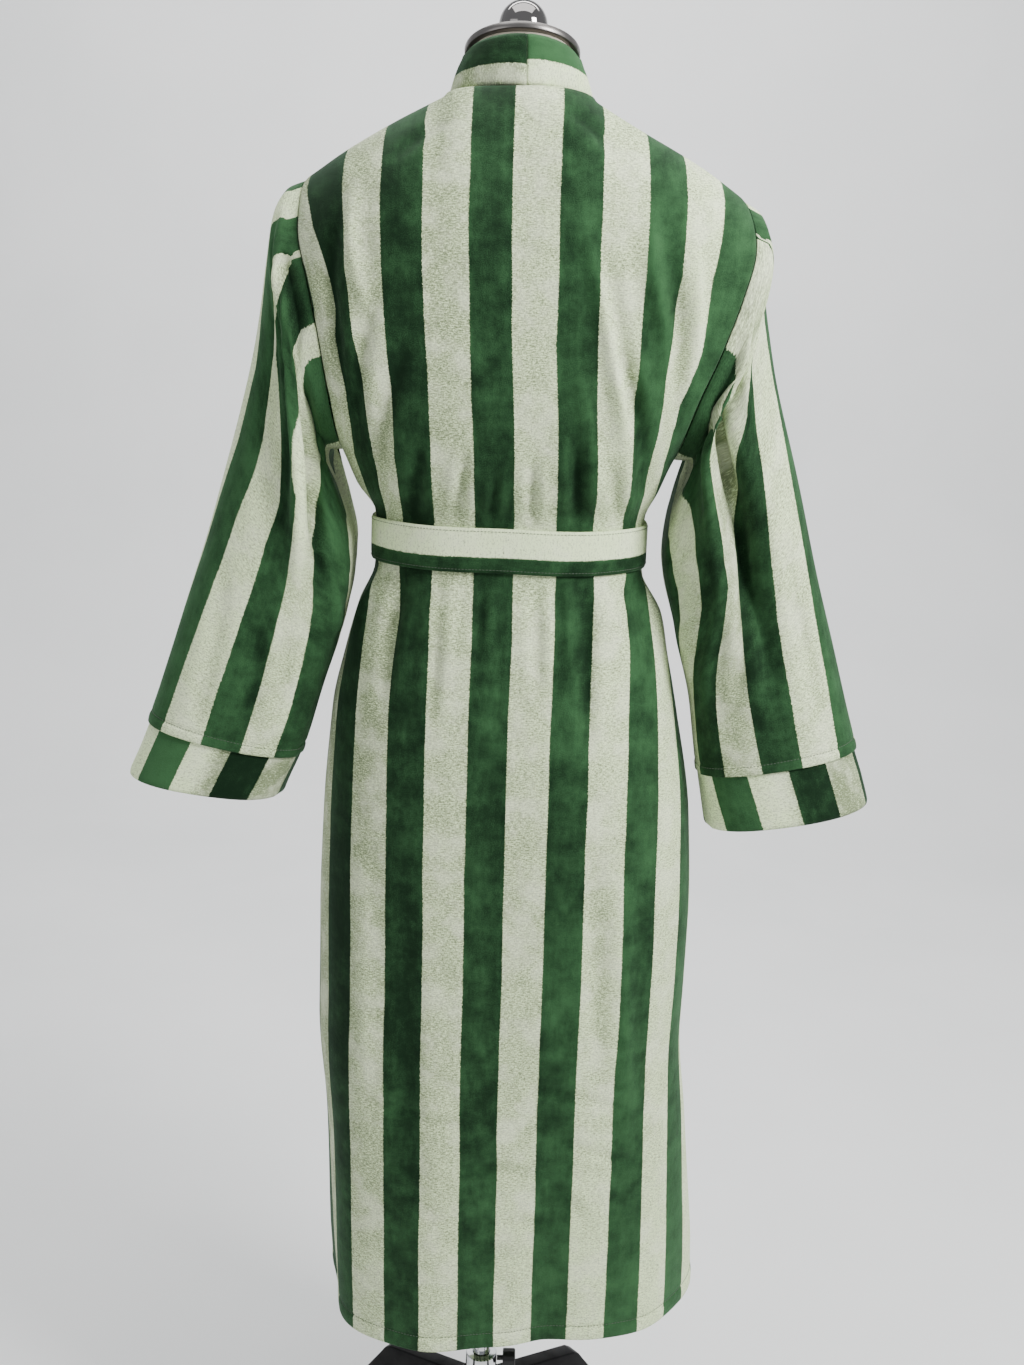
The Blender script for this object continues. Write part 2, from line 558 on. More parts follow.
@dataclass
class Grid:
    """Outer face of a cloth piece as rows and columns of points, in millimetres.

    Attributes:
        points: Rows by columns by 3.
        outward: 1 or -1, for which way the normals point.
        closed: Whether the last column joins the first.
        cloth: Place of each point on the flat cloth, with one more column on a closed grid.
        seam: Column where the flat cloth ends and starts again, or -1.
    """

    points: Array
    outward: float
    closed: bool = False
    cloth: Array = field(default_factory=lambda: np.zeros((0, 0, 2)))
    seam: int = -1

    def normals(self) -> Array:
        """Unit normals that point out of the garment.

        Returns:
            Rows by columns by 3.
        """
        p = self.points
        if self.closed:
            across = np.roll(p, -1, 1) - np.roll(p, 1, 1)
        else:
            across = np.gradient(p, axis=1)
        return unit(np.cross(across, np.gradient(p, axis=0))) * self.outward

    def push(self, height: Array) -> None:
        """Moves the points out along their normals by a height for each."""
        self.points = self.points + self.normals() * height[..., None]

    def steps(self, axis: int) -> Array:
        """Length along the cloth from the first row or column.

        Args:
            axis: 0 down the rows, 1 across the columns.

        Returns:
            Rows by columns of lengths.
        """
        gaps = np.linalg.norm(np.diff(self.points, axis=axis), axis=-1)
        start = np.zeros_like(gaps[:1]) if axis == 0 else np.zeros_like(gaps[:, :1])
        return np.concatenate([start, np.cumsum(gaps, axis)], axis)

    def round_length(self) -> Array:
        """Length round a closed grid, with one more column for the closing cell."""
        whole = replace(self, points=np.concatenate([self.points, self.points[:, :1]], 1))
        return whole.steps(1)

    def roll(self, edges: str, depth: float = 1.3, width: float = 3.2) -> None:
        """Rolls seam edges down into a narrow valley.

        Args:
            edges: Any of "top", "bottom", "start" and "end", separated by spaces.
            depth: How deep the edge goes.
            width: How far the roll reaches.
        """
        down, across = self.steps(0), self.steps(1)
        far = {
            "top": down,
            "bottom": down[-1:] - down,
            "start": across,
            "end": across[:, -1:] - across,
        }
        low = np.zeros(down.shape)
        for edge in edges.split():
            low = np.maximum(low, bell(far[edge], width))
        self.push(-depth * low)

    def area(self) -> float:
        """Area of the outer face.

        Returns:
            Square metres.
        """
        p = self.points
        if self.closed:
            p = np.concatenate([p, p[:, :1]], 1)
        a = np.cross(p[1:, :-1] - p[:-1, :-1], p[:-1, 1:] - p[:-1, :-1])
        b = np.cross(p[1:, :-1] - p[1:, 1:], p[:-1, 1:] - p[1:, 1:])
        both = np.linalg.norm(a, axis=-1) + np.linalg.norm(b, axis=-1)
        return float(both.sum()) / 2 * MM * MM

    def flat_lengths(self) -> Array:
        """Place across the flat cloth of each column of a tube that is cut open under the arm.

        Returns:
            Rows by columns plus one.
        """
        length = self.round_length()
        u = np.where(np.arange(length.shape[1]) > self.seam, length - length[:, -1:], length)
        u[:, -1] = 0.0
        return u

    def build(
        self, name: str, material: bpy.types.Material, thickness: float, nap: Array | float
    ) -> bpy.types.Object:
        """Closed wall of cloth with this grid as its outer face.

        Args:
            name: Name of the object.
            material: Its material.
            thickness: Thickness in millimetres.
            nap: Lie of the pile, from 0 for dark to 1 for bright.

        Returns:
            The object.
        """
        rows, columns = self.points.shape[:2]
        inner = self.points - self.normals() * thickness
        corners = np.concatenate([self.points.reshape(-1, 3), inner.reshape(-1, 3)]) * MM
        cells = columns if self.closed else columns - 1
        r, c = np.meshgrid(np.arange(rows - 1), np.arange(cells), indexing="ij")
        r, c = r.ravel(), c.ravel()
        shift = rows * columns

        def ids(row: Array, column: Array) -> Array:
            """Numbers of the corners."""
            return row * columns + column % columns

        after = self.cloth
        if self.seam >= 0:
            after = self.cloth.copy()
            k = self.seam
            after[:, k] = 2 * self.cloth[:, k + 1] - self.cloth[:, k + 2]

        def flat(row: Array, column: Array) -> Array:
            """Cloth place of a cell's far side."""
            return self.cloth[row, column]

        def first(row: Array, column: Array) -> Array:
            """Cloth place of a cell's near side."""
            return after[row, column]

        outer = np.stack([ids(r, c), ids(r, c + 1), ids(r + 1, c + 1), ids(r + 1, c)], 1)
        outer_uv = np.stack([first(r, c), flat(r, c + 1), flat(r + 1, c + 1), first(r + 1, c)], 1)
        quads, uvs = [outer, outer[:, ::-1] + shift], [outer_uv, outer_uv[:, ::-1]]
        c = np.arange(cells)
        rims = [
            (ids(row, c), ids(row, c + 1), first(0 * c + row, c), flat(0 * c + row, c + 1), forward)
            for row, forward in ((0, False), (rows - 1, True))
        ]
        if not self.closed:
            r = np.arange(rows - 1)
            rims += [
                (ids(r, column), ids(r + 1, column), flat(r, column), flat(r + 1, column), forward)
                for column, forward in ((0, True), (columns - 1, False))
            ]
        for a, b, place_a, place_b, forward in rims:
            quad = np.stack([a, b, b + shift, a + shift], 1)
            quad_uv = np.stack([place_a, place_b, place_b, place_a], 1)
            quads.append(quad if forward else quad[:, ::-1])
            uvs.append(quad_uv if forward else quad_uv[:, ::-1])
        faces, uv = np.concatenate(quads), np.concatenate(uvs)
        if self.outward < 0:
            faces, uv = faces[:, ::-1], uv[:, ::-1]
        mesh = bpy.data.meshes.new(name)
        mesh.from_pydata(corners.tolist(), [], faces.tolist())
        layer = mesh.uv_layers.new(name="cloth")
        layer.data.foreach_set("uv", (uv.reshape(-1, 2) * MM).astype(np.float32).ravel())
        lie = mesh.attributes.new("nap", "FLOAT", "POINT")
        pile = np.broadcast_to(nap, (rows, columns)).astype(np.float32).ravel()
        lie.data.foreach_set("value", np.concatenate([pile, pile]))
        soft = np.zeros(len(faces), bool)
        soft[: 2 * len(outer)] = True
        mesh.polygons.foreach_set("use_smooth", soft)
        mesh.materials.append(material)
        mesh.update()
        return place_object(name, mesh)


def place_object(name: str, mesh: bpy.types.Mesh) -> bpy.types.Object:
    """Puts a mesh in the scene as an object at the origin."""
    thing = bpy.data.objects.new(name, mesh)
    bpy.context.scene.collection.objects.link(thing)
    return thing


def capped_mesh(name: str, points: Array, material: bpy.types.Material) -> bpy.types.Mesh:
    """Smooth closed mesh from rings of points, with a fan over each end.

    Args:
        name: Name of the mesh.
        points: Rings by places round them, in millimetres, from the lowest ring up.
        material: Its material.

    Returns:
        The mesh.
    """
    rows, columns = points.shape[:2]
    corners = np.concatenate([points.reshape(-1, 3), points[:1].mean(1), points[-1:].mean(1)])
    after = [(c + 1) % columns for c in range(columns)]
    faces = [
        (r * columns + c, r * columns + after[c], (r + 1) * columns + after[c], (r + 1) * columns + c)
        for r in range(rows - 1)
        for c in range(columns)
    ]
    low, high, last = rows * columns, rows * columns + 1, (rows - 1) * columns
    faces += [(low, after[c], c) for c in range(columns)]
    faces += [(high, last + c, last + after[c]) for c in range(columns)]
    mesh = bpy.data.meshes.new(name)
    mesh.from_pydata((corners * MM).tolist(), [], faces)
    mesh.polygons.foreach_set("use_smooth", np.ones(len(faces), bool))
    mesh.materials.append(material)
    return mesh


def dress(thing: bpy.types.Object, body: Body, slot: str, *nodes: str) -> bpy.types.Object:
    """Seats a finished piece on its body.

    Args:
        thing: The piece.
        body: The body it rides.
        slot: The record's material slot.
        nodes: CAD nodes that it stands for.

    Returns:
        The piece.
    """
    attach(thing, body.value)
    if nodes:
        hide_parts(*nodes)
    return thing


class Value:
    """Number socket of a shader tree, with the usual arithmetic."""

    def __init__(self, shader: "ShaderTree", socket: Socket) -> None:
        """Wraps an output socket of a tree."""
        self.shader = shader
        self.socket = socket

    def _maths(self, operation: str, *others: "Value | float", first: bool = True) -> "Value":
        """Adds a Math node on this value, which is its first or its last input."""
        inputs = [self, *others] if first else [*others, self]
        node = self.shader.node("ShaderNodeMath", {"operation": operation}, inputs)
        return Value(self.shader, node.outputs[0])

    def __add__(self, other: "Value | float") -> "Value":
        """Sum."""
        return self._maths("ADD", other)

    def __sub__(self, other: "Value | float") -> "Value":
        """Difference."""
        return self._maths("SUBTRACT", other)

    def __rsub__(self, other: float) -> "Value":
        """Difference from a number."""
        return self._maths("SUBTRACT", other, first=False)

    def __mul__(self, other: "Value | float") -> "Value":
        """Product."""
        return self._maths("MULTIPLY", other)

    def __truediv__(self, other: "Value | float") -> "Value":
        """Quotient."""
        return self._maths("DIVIDE", other)

    __radd__, __rmul__ = __add__, __mul__

    def fraction(self) -> "Value":
        """Part after the decimal point."""
        return self._maths("FRACT")

    def size(self) -> "Value":
        """Distance from 0."""
        return self._maths("ABSOLUTE")

    def ramp(self, low: float, high: float) -> "Value":
        """Smooth step from 0 at low to 1 at high."""
        settings = {"interpolation_type": "SMOOTHSTEP"}
        node = self.shader.node("ShaderNodeMapRange", settings, [self, low, high, 0.0, 1.0])
        return Value(self.shader, node.outputs[0])


class ShaderTree:
    """Material with a node tree that is filled in one call a node."""

    def __init__(self, name: str) -> None:
        """Makes an empty material.

        Args:
            name: Name of the material.
        """
        self.material = bpy.data.materials.new(name)
        self.material.use_nodes = True
        self.tree = self.material.node_tree
        self.tree.nodes.clear()

    def node(
        self, kind: str, settings: dict | None = None, inputs: dict | list | tuple = ()
    ) -> bpy.types.Node:
        """Adds a node, sets its options and then its inputs.

        Args:
            kind: Type of the node.
            settings: Options by name.
            inputs: Inputs in order as a list, or by name as a dict.

        Returns:
            The node.
        """
        node = self.tree.nodes.new(kind)
        for key, value in (settings or {}).items():
            setattr(node, key, value)
        pairs = inputs.items() if isinstance(inputs, dict) else enumerate(inputs)
        for key, value in pairs:
            socket = node.inputs[key]
            if isinstance(value, Value):
                value = value.socket
            if isinstance(value, Socket):
                self.tree.links.new(value, socket)
            elif value is not None:
                socket.default_value = value
        return node

    def noise(self, place: Socket, scale: float, detail: float = 2.0, rough: float = 0.5) -> Value:
        """Noise about 0.5, with its scale in cells to a metre."""
        inputs = {"Vector": place, "Scale": scale, "Detail": detail, "Roughness": rough}
        return Value(self, self.node("ShaderNodeTexNoise", {}, inputs).outputs[0])

    def mix(self, factor: Value | float, a: Colour, b: Colour) -> Socket:
        """Mix of two colours.

        Args:
            factor: Share of b.
            a: Colour or socket at 0.
            b: Colour or socket at 1.

        Returns:
            Colour socket.
        """
        node = self.tree.nodes.new("ShaderNodeMix")
        node.data_type = "RGBA"
        sockets = [s for s in node.inputs if s.enabled]
        for socket, value in zip(sockets, (factor, a, b)):
            if isinstance(value, Value):
                value = value.socket
            if isinstance(value, Socket):
                self.tree.links.new(value, socket)
            elif isinstance(value, tuple):
                socket.default_value = (*value, 1.0)
            else:
                socket.default_value = value
        return next(s for s in node.outputs if s.enabled)

    def bump(
        self, height: Value, distance: float, strength: float = 1.0, normal: Socket | None = None
    ) -> Socket:
        """Bump normal from a height from 0 to 1, whose 1 is the distance in metres."""
        inputs = {"Height": height, "Distance": distance, "Strength": strength, "Normal": normal}
        return self.node("ShaderNodeBump", {}, inputs).outputs[0]

    def principled(self, **inputs: Value | Colour | float) -> Socket:
        """Principled shader.

        Args:
            inputs: Inputs by name, with _ for a space.

        Returns:
            Shader socket.
        """
        named = {key.replace("_", " "): value for key, value in inputs.items()}
        for key, value in named.items():
            if isinstance(value, tuple) and len(value) == 3:
                named[key] = (*value, 1.0)
        return self.node("ShaderNodeBsdfPrincipled", {}, named).outputs[0]

    def finish(self, shader: Socket) -> bpy.types.Material:
        """Connects the surface and gives the material."""
        self.node("ShaderNodeOutputMaterial", {}, {"Surface": shader})
        return self.material


@dataclass(frozen=True)
class StripedVelvet:
    """Cotton velvet woven in wide stripes, deep green on heathered sage.

    Attributes:
        name: Name of the material.
        deep: Green in the shade of the pile.
        lifted: Green where the pile catches the light.
        sage: Darker yarn of the pale stripe.
        cream: Paler yarn of the pale stripe.
        bloom: Greyer yarn that shows in patches.
    """

    name: str = "striped_velvet"
    deep: tuple[float, float, float] = (0.0015, 0.013, 0.0032)
    lifted: tuple[float, float, float] = (0.037, 0.108, 0.040)
    sage: tuple[float, float, float] = (0.16, 0.20, 0.105)
    cream: tuple[float, float, float] = (0.77, 0.91, 0.54)
    bloom: tuple[float, float, float] = (0.80, 0.85, 0.63)

    def build(self) -> bpy.types.Material:
        """Makes the material."""
        s = ShaderTree(self.name)
        cloth = s.node("ShaderNodeUVMap", {"uv_map": "cloth"}).outputs[0]
        split = s.node("ShaderNodeSeparateXYZ", {}, [cloth])
        u = Value(s, split.outputs[0])
        nap = Value(s, s.node("ShaderNodeAttribute", {"attribute_name": "nap"}).outputs["Fac"])
        fuzz = (s.noise(cloth, 620.0, 3.0, 0.7) - 0.5) * 0.0042
        wander = (s.noise(cloth, 14.0, 1.0) - 0.5) * 0.0022
        turn = ((u + fuzz + wander) / (PERIOD * MM)).fraction()
        half = (PERIOD - DARK) / PERIOD / 2
        pale = ((turn - (1 - half)).size() - half).ramp(0.006, -0.006)
        cloud = s.noise(cloth, 9.0, 3.0, 0.6)
        patch = s.noise(cloth, 42.0, 3.0, 0.65)
        grain = s.noise(cloth, 1050.0, 2.0, 0.7)
        brushed = s.noise(self._stretched(s, cloth, 190.0, 40.0), 1.0, 3.0, 0.6)
        lift = (cloud - 0.5) * 0.9 + (patch - 0.5) * 0.95 + (grain - 0.5) * 1.0
        lift = lift + (brushed - 0.5) * 0.35 + nap
        green = s.mix(lift.ramp(0.02, 1.08), self.deep, self.lifted)
        yarn = s.noise(cloth, 640.0, 3.0, 0.75)
        rib = s.noise(self._stretched(s, cloth, 240.0, 950.0), 1.0, 2.0, 0.7)
        heather = yarn * 0.5 + rib * 0.5 + (patch - 0.5) * 0.11 + (nap - 0.5) * 0.24
        light = s.mix(heather.ramp(0.36, 0.60), self.sage, self.cream)
        light = s.mix(s.noise(cloth, 26.0, 3.0, 0.6).ramp(0.42, 0.68) * 0.5, light, self.bloom)
        speck = s.noise(cloth, 480.0, 2.0, 0.8).ramp(0.54, 0.68)
        fleck = s.noise(self._stretched(s, cloth, 130.0, 520.0), 1.0, 4.0, 0.8).ramp(0.54, 0.68)
        light = s.mix(speck * 0.5 + fleck * 0.6, light, self.sage)
        pile = s.bump(grain * 0.7 + brushed * 0.3, 0.0009, 0.5)
        soft = s.bump(s.noise(cloth, 55.0, 3.0, 0.6), 0.0018, 0.45, pile)
        dark = s.principled(
            Base_Color=green, Roughness=0.85, Normal=soft, Sheen_Weight=0.16,
            Sheen_Roughness=0.42, Sheen_Tint=(0.40, 0.72, 0.44), Specular_IOR_Level=0.15,
        )
        knit = s.principled(
            Base_Color=light, Roughness=0.92, Normal=soft, Sheen_Weight=0.1,
            Sheen_Roughness=0.5, Sheen_Tint=(0.9, 0.95, 0.85), Specular_IOR_Level=0.15,
        )
        both = s.node("ShaderNodeMixShader", {}, [pale, dark, knit]).outputs[0]
        return s.finish(both)

    def _stretched(self, s: ShaderTree, place: Socket, across: float, along: float) -> Socket:
        """Coordinates scaled apart across and along the stripes."""
        node = s.node("ShaderNodeMapping", {}, {"Vector": place})
        node.inputs["Scale"].default_value = (across, along, 1.0)
        return node.outputs[0]


@dataclass(frozen=True)
class Thread:
    """Sewing thread.

    Attributes:
        name: Name of the material.
        colour: Base colour.
    """

    name: str
    colour: tuple[float, float, float]

    def build(self) -> bpy.types.Material:
        """Makes the material."""
        s = ShaderTree(self.name)
        place = s.node("ShaderNodeTexCoord").outputs["Object"]
        shade = s.noise(place, 900.0, 2.0)
        colour = s.mix(shade, tuple(0.6 * c for c in self.colour), self.colour)
        return s.finish(s.principled(Base_Color=colour, Roughness=0.7, Sheen_Weight=0.2))


@dataclass(frozen=True)
class Linen:
    """Plain woven cover of the dress form.

    Attributes:
        name: Name of the material.
        colour: Colour of the weave.
    """

    name: str = "form_linen"
    colour: tuple[float, float, float] = (0.62, 0.56, 0.45)

    def build(self) -> bpy.types.Material:
        """Makes the material."""
        s = ShaderTree(self.name)
        place = s.node("ShaderNodeTexCoord").outputs["Object"]
        split = s.node("ShaderNodeSeparateXYZ", {}, [place])
        x, z = Value(s, split.outputs[0]), Value(s, split.outputs[2])
        slub = s.noise(place, 300.0, 3.0, 0.7)
        warp = ((x * 900.0 + slub).fraction() - 0.5).size()
        weft = ((z * 900.0 + slub).fraction() - 0.5).size()
        weave = warp * weft * 4.0
        tone = weave * 0.4 + slub * 0.5 + s.noise(place, 12.0, 2.0) * 0.3
        dark = tuple(0.72 * c for c in self.colour)
        colour = s.mix(tone.ramp(0.1, 0.9), dark, self.colour)
        normal = s.bump(weave + slub * 0.4, 0.0004, 0.6)
        return s.finish(s.principled(Base_Color=colour, Roughness=0.9, Normal=normal))


@dataclass(frozen=True)
class Metal:
    """Plated or painted metal with light handling marks.

    Attributes:
        name: Name of the material.
        colour: Base colour.
        roughness: Roughness of the clean surface.
        metallic: 1 for bare metal, 0 for paint.
        marks: How much smears and scratches roughen it.
        specular: Strength of the reflection from paint.
    """

    name: str
    colour: tuple[float, float, float]
    roughness: float
    metallic: float
    marks: float = 0.12
    specular: float = 0.5

    def build(self) -> bpy.types.Material:
        """Makes the material."""
        s = ShaderTree(self.name)
        place = s.node("ShaderNodeTexCoord").outputs["Object"]
        smear = s.noise(place, 35.0, 4.0, 0.65)
        fine = s.noise(place, 420.0, 2.0, 0.6)
        rough = smear.ramp(0.4, 0.8) * self.marks + (fine - 0.5) * 0.03 + self.roughness
        dull = tuple(0.8 * c for c in self.colour)
        colour = s.mix(smear.ramp(0.45, 0.85), self.colour, dull)
        normal = s.bump(fine, 0.00006, 0.3)
        return s.finish(
            s.principled(
                Base_Color=colour, Roughness=rough, Metallic=self.metallic, Normal=normal,
                Specular_IOR_Level=self.specular,
            )
        )


@dataclass(frozen=True)
class Moulded:
    """Moulded plastic or rubber.

    Attributes:
        name: Name of the material.
        colour: Base colour.
        roughness: Roughness.
    """

    name: str
    colour: tuple[float, float, float]
    roughness: float

    def build(self) -> bpy.types.Material:
        """Makes the material."""
        s = ShaderTree(self.name)
        place = s.node("ShaderNodeTexCoord").outputs["Object"]
        grain = s.noise(place, 1400.0, 2.0, 0.6)
        dust = s.noise(place, 60.0, 4.0, 0.7).ramp(0.5, 0.8)
        colour = s.mix(dust * 0.25, self.colour, (0.12, 0.12, 0.115))
        normal = s.bump(grain, 0.0002, 0.5)
        rough = dust * 0.15 + self.roughness
        return s.finish(s.principled(Base_Color=colour, Roughness=rough, Normal=normal))


@dataclass(frozen=True)
class Finishes:
    """Materials of all pieces."""

    velvet: bpy.types.Material
    pale_thread: bpy.types.Material
    green_thread: bpy.types.Material
    linen: bpy.types.Material
    chrome: bpy.types.Material
    ball: bpy.types.Material
    cap: bpy.types.Material
    paint: bpy.types.Material
    plastic: bpy.types.Material
    rubber: bpy.types.Material

    @classmethod
    def make(cls) -> "Finishes":
        """Builds every material."""
        return cls(
            velvet=StripedVelvet().build(),
            pale_thread=Thread("pale_thread", (0.30, 0.34, 0.25)).build(),
            green_thread=Thread("green_thread", (0.055, 0.08, 0.05)).build(),
            linen=Linen().build(),
            chrome=Metal("chrome", (0.66, 0.67, 0.68), 0.05, 1.0, 0.08).build(),
            ball=Metal("dark_chrome", (0.27, 0.26, 0.25), 0.05, 1.0, 0.08).build(),
            cap=Metal("cap_metal", (0.21, 0.20, 0.19), 0.3, 0.95, 0.15).build(),
            paint=Metal("black_metal", (0.003, 0.003, 0.0033), 0.5, 0.0, 0.15, 0.12).build(),
            plastic=Moulded("black_plastic", (0.009, 0.009, 0.0095), 0.5).build(),
            rubber=Moulded("foot_rubber", (0.017, 0.017, 0.017), 0.75).build(),
        )


class StitchTree:
    """Geometry Nodes tree that lays thread stitches along the polylines of a mesh."""

    jitter, share, width = 0.12, 0.82, 0.75 * MM

    def __init__(self) -> None:
        """Builds the tree once, for every row of stitches."""
        self.tree = bpy.data.node_groups.new("stitches", "GeometryNodeTree")
        face = self.tree.interface
        sockets = dict(
            Geometry="Geometry", Spacing="Float", Length="Float", Width="Float", Seed="Int",
            Thread="Material",
        )
        for name, kind in sockets.items():
            face.new_socket(name, in_out="INPUT", socket_type="NodeSocket" + kind)
        face.new_socket("Geometry", in_out="OUTPUT", socket_type="NodeSocketGeometry")
        given = self._node("NodeGroupInput").outputs
        curve = self._geometry("MeshToCurve", Mesh=given["Geometry"])
        even = self._node(
            "GeometryNodeResampleCurve", {"mode": "LENGTH"},
            {"Curve": curve, "Length": given["Spacing"]},
        ).outputs[0]
        ball = self._geometry("MeshIcoSphere", Radius=0.5, Subdivisions=1)
        wide = given["Width"]
        size = self._node("ShaderNodeCombineXYZ", {}, {"X": given["Length"], "Y": wide, "Z": wide})
        stitch = self._geometry("Transform", Geometry=ball, Scale=size.outputs[0])
        tangent = self._geometry("InputTangent")
        jitter = self._node("FunctionNodeRandomValue", {"data_type": "FLOAT_VECTOR"}, {"Seed": given["Seed"]})
        jitter.inputs["Min"].default_value = (-self.jitter,) * 3
        jitter.inputs["Max"].default_value = (self.jitter,) * 3
        aim = self._node(
            "ShaderNodeVectorMath", {"operation": "ADD"}, {0: tangent, 1: jitter.outputs["Value"]}
        ).outputs[0]
        turn = self._node("FunctionNodeAlignRotationToVector", {"axis": "X"}, {"Vector": aim})
        many = self._geometry("InstanceOnPoints", Points=even, Instance=stitch, Rotation=turn.outputs[0])
        real = self._geometry("RealizeInstances", Geometry=many)
        painted = self._geometry("SetMaterial", Geometry=real, Material=given["Thread"])
        self._node("NodeGroupOutput", {}, {0: painted})

    def _node(
        self, kind: str, settings: dict | None = None, inputs: dict | None = None
    ) -> bpy.types.Node:
        """Adds a node, sets its options and then its inputs."""
        node = self.tree.nodes.new(kind)
        for key, value in (settings or {}).items():
            setattr(node, key, value)
        for key, value in (inputs or {}).items():
            if isinstance(value, Socket):
                self.tree.links.new(value, node.inputs[key])
            else:
                node.inputs[key].default_value = value
        return node

    def _geometry(self, kind: str, **inputs: Socket | float) -> Socket:
        """Adds a geometry node and gives its first output."""
        return self._node("GeometryNode" + kind, {}, inputs).outputs[0]

    def sew(
        self, name: str, rows: list[Array], thread: bpy.types.Material, seed: int,
        spacing: float = 3.4,
    ) -> bpy.types.Object:
        """Lays stitches along rows of points.

        Args:
            name: Name of the piece.
            rows: Rows of points in millimetres.
            thread: Material of the thread.
            seed: Seed of the small turns.
            spacing: Length of a stitch with its gap, in millimetres.

        Returns:
            The object, a plain mesh.
        """
        corners, edges = [], []
        for row in rows:
            first = len(corners)
            corners += (row * MM).tolist()
            edges += [(first + i, first + i + 1) for i in range(len(row) - 1)]
        mesh = bpy.data.meshes.new(name + "_path")
        mesh.from_pydata(corners, edges, [])
        path = place_object(name + "_path", mesh)
        modifier = path.modifiers.new("stitches", "NODES")
        modifier.node_group = self.tree
        length = self.share * spacing * MM
        values = dict(
            Spacing=spacing * MM, Length=length, Width=self.width, Seed=seed, Thread=thread
        )
        for item in self.tree.interface.items_tree:
            if item.in_out == "INPUT" and item.name in values:
                modifier[item.identifier] = values[item.name]
        deps = bpy.context.evaluated_depsgraph_get()
        done = bpy.data.meshes.new_from_object(path.evaluated_get(deps), depsgraph=deps)
        path.modifiers.remove(modifier)
        bpy.data.objects.remove(path)
        done.name = name
        return place_object(name, done)


def lifted_row(grid: Grid, row: float) -> Array:
    """Row of points a little above a grid.

    Args:
        grid: The grid.
        row: Place down the rows, between whole rows too.

    Returns:
        Points.
    """
    points = grid.points + grid.normals() * THREAD_LIFT
    low = int(math.floor(row))
    high = min(low + 1, len(points) - 1)
    line = lerp(points[low], points[high], row - low)
    return np.concatenate([line, line[:1]]) if grid.closed else line


def row_at(grid: Grid, distance: float, from_end: bool) -> float:
    """Row at a distance along the cloth from the first or last row.

    Args:
        grid: The grid.
        distance: Distance in millimetres.
        from_end: Whether to measure from the last row.

    Returns:
        Place down the rows.
    """
    down = grid.steps(0).mean(1)
    want = down[-1] - distance if from_end else distance
    return float(np.interp(want, down, np.arange(len(down))))


def creases(*rows: tuple[float, ...]) -> tuple[Crease, ...]:
    """Creases from rows of start, end, width, reach and, where it has one, bow."""
    return tuple(Crease(row[:2], row[2:4], *row[4:]) for row in rows)


BACK_CREASES = creases(
    (-62, 1500, -112, 1300, 7, 3.6, 6), (-88, 1460, -122, 1340, 6, -3.0, -5),
    (-124, 1520, -146, 1400, 8, 3.4, -6), (-142, 1490, -158, 1330, 7, -4.2, 6),
    (-164, 1500, -172, 1380, 6, 2.6, 4), (-96, 1400, -132, 1262, 7, -3.6, 8),
    (-60, 1380, -84, 1240, 8, 2.6, 5), (-40, 1610, -96, 1566, 6, -1.8, 4),
    (60, 1596, 116, 1560, 6, -1.8, -4), (150, 1540, 132, 1420, 7, 3.4, -8),
    (170, 1500, 152, 1340, 8, -4.6, -8), (128, 1440, 140, 1300, 7, -3.0, -8),
    (96, 1400, 128, 1262, 8, -3.0, -6), (40, 1300, 48, 1226, 5, -3.2),
    (12, 1280, 14, 1226, 4, -2.4), (-22, 1292, -26, 1226, 5, -3.2), (-64, 1310, -70, 1226, 6, -4.0),
    (84, 1300, 92, 1226, 6, -3.6), (-100, 1296, -112, 1226, 6, -3.4), (62, 1177, 68, 1030, 6, -3.2),
    (-32, 1177, -36, 1060, 6, -2.8), (-60, 1177, -66, 1090, 5, 2.0),
    (-80, 1177, -88, 1000, 7, -3.6), (22, 1177, 24, 1090, 5, -2.4), (104, 1177, 118, 1040, 7, -3.0),
    (-40, 652, -150, 616, 5, -1.8, 4), (-60, 600, -168, 552, 5, -1.6, -3),
    (-52, 560, -120, 470, 6, -1.6, 4), (44, 566, -60, 552, 5, -1.5), (130, 630, 20, 606, 5, -1.4),
    (120, 560, 40, 548, 4, -1.2), (-10, 500, -84, 486, 5, -1.2, 3),
    (-96, 920, -112, 620, 10, -2.6, 6), (-134, 880, -150, 560, 9, 2.6, -4),
    (88, 880, 70, 500, 12, -2.6, -6), (140, 900, 132, 600, 10, 2.4, 5),
)
FRONT_CREASES = {
    Side.LEFT: creases(
        (40, 1540, 96, 1400, 8, -3.4, 8), (110, 1500, 146, 1330, 8, -4.0, -8),
        (60, 1300, 70, 1226, 6, -3.6), (100, 1296, 112, 1226, 6, -3.2),
        (10, 1290, 6, 1226, 5, -2.6), (60, 1176, 70, 1010, 7, -3.2), (-10, 1176, -6, 1060, 6, -2.4),
        (100, 880, 86, 600, 10, -2.6, 6), (-20, 760, -14, 480, 10, -2.0, -6),
        (120, 620, 10, 600, 5, -1.4, 3),
    ),
    Side.RIGHT: creases(
        (-60, 1540, -104, 1400, 8, -3.4, 8), (-120, 1500, -150, 1330, 8, -4.0, 8),
        (-70, 1300, -82, 1226, 6, -3.6), (-110, 1296, -120, 1226, 6, -3.2),
        (-120, 1176, -130, 1010, 7, -3.2), (-130, 900, -140, 600, 10, -2.6, 6),
    ),
}
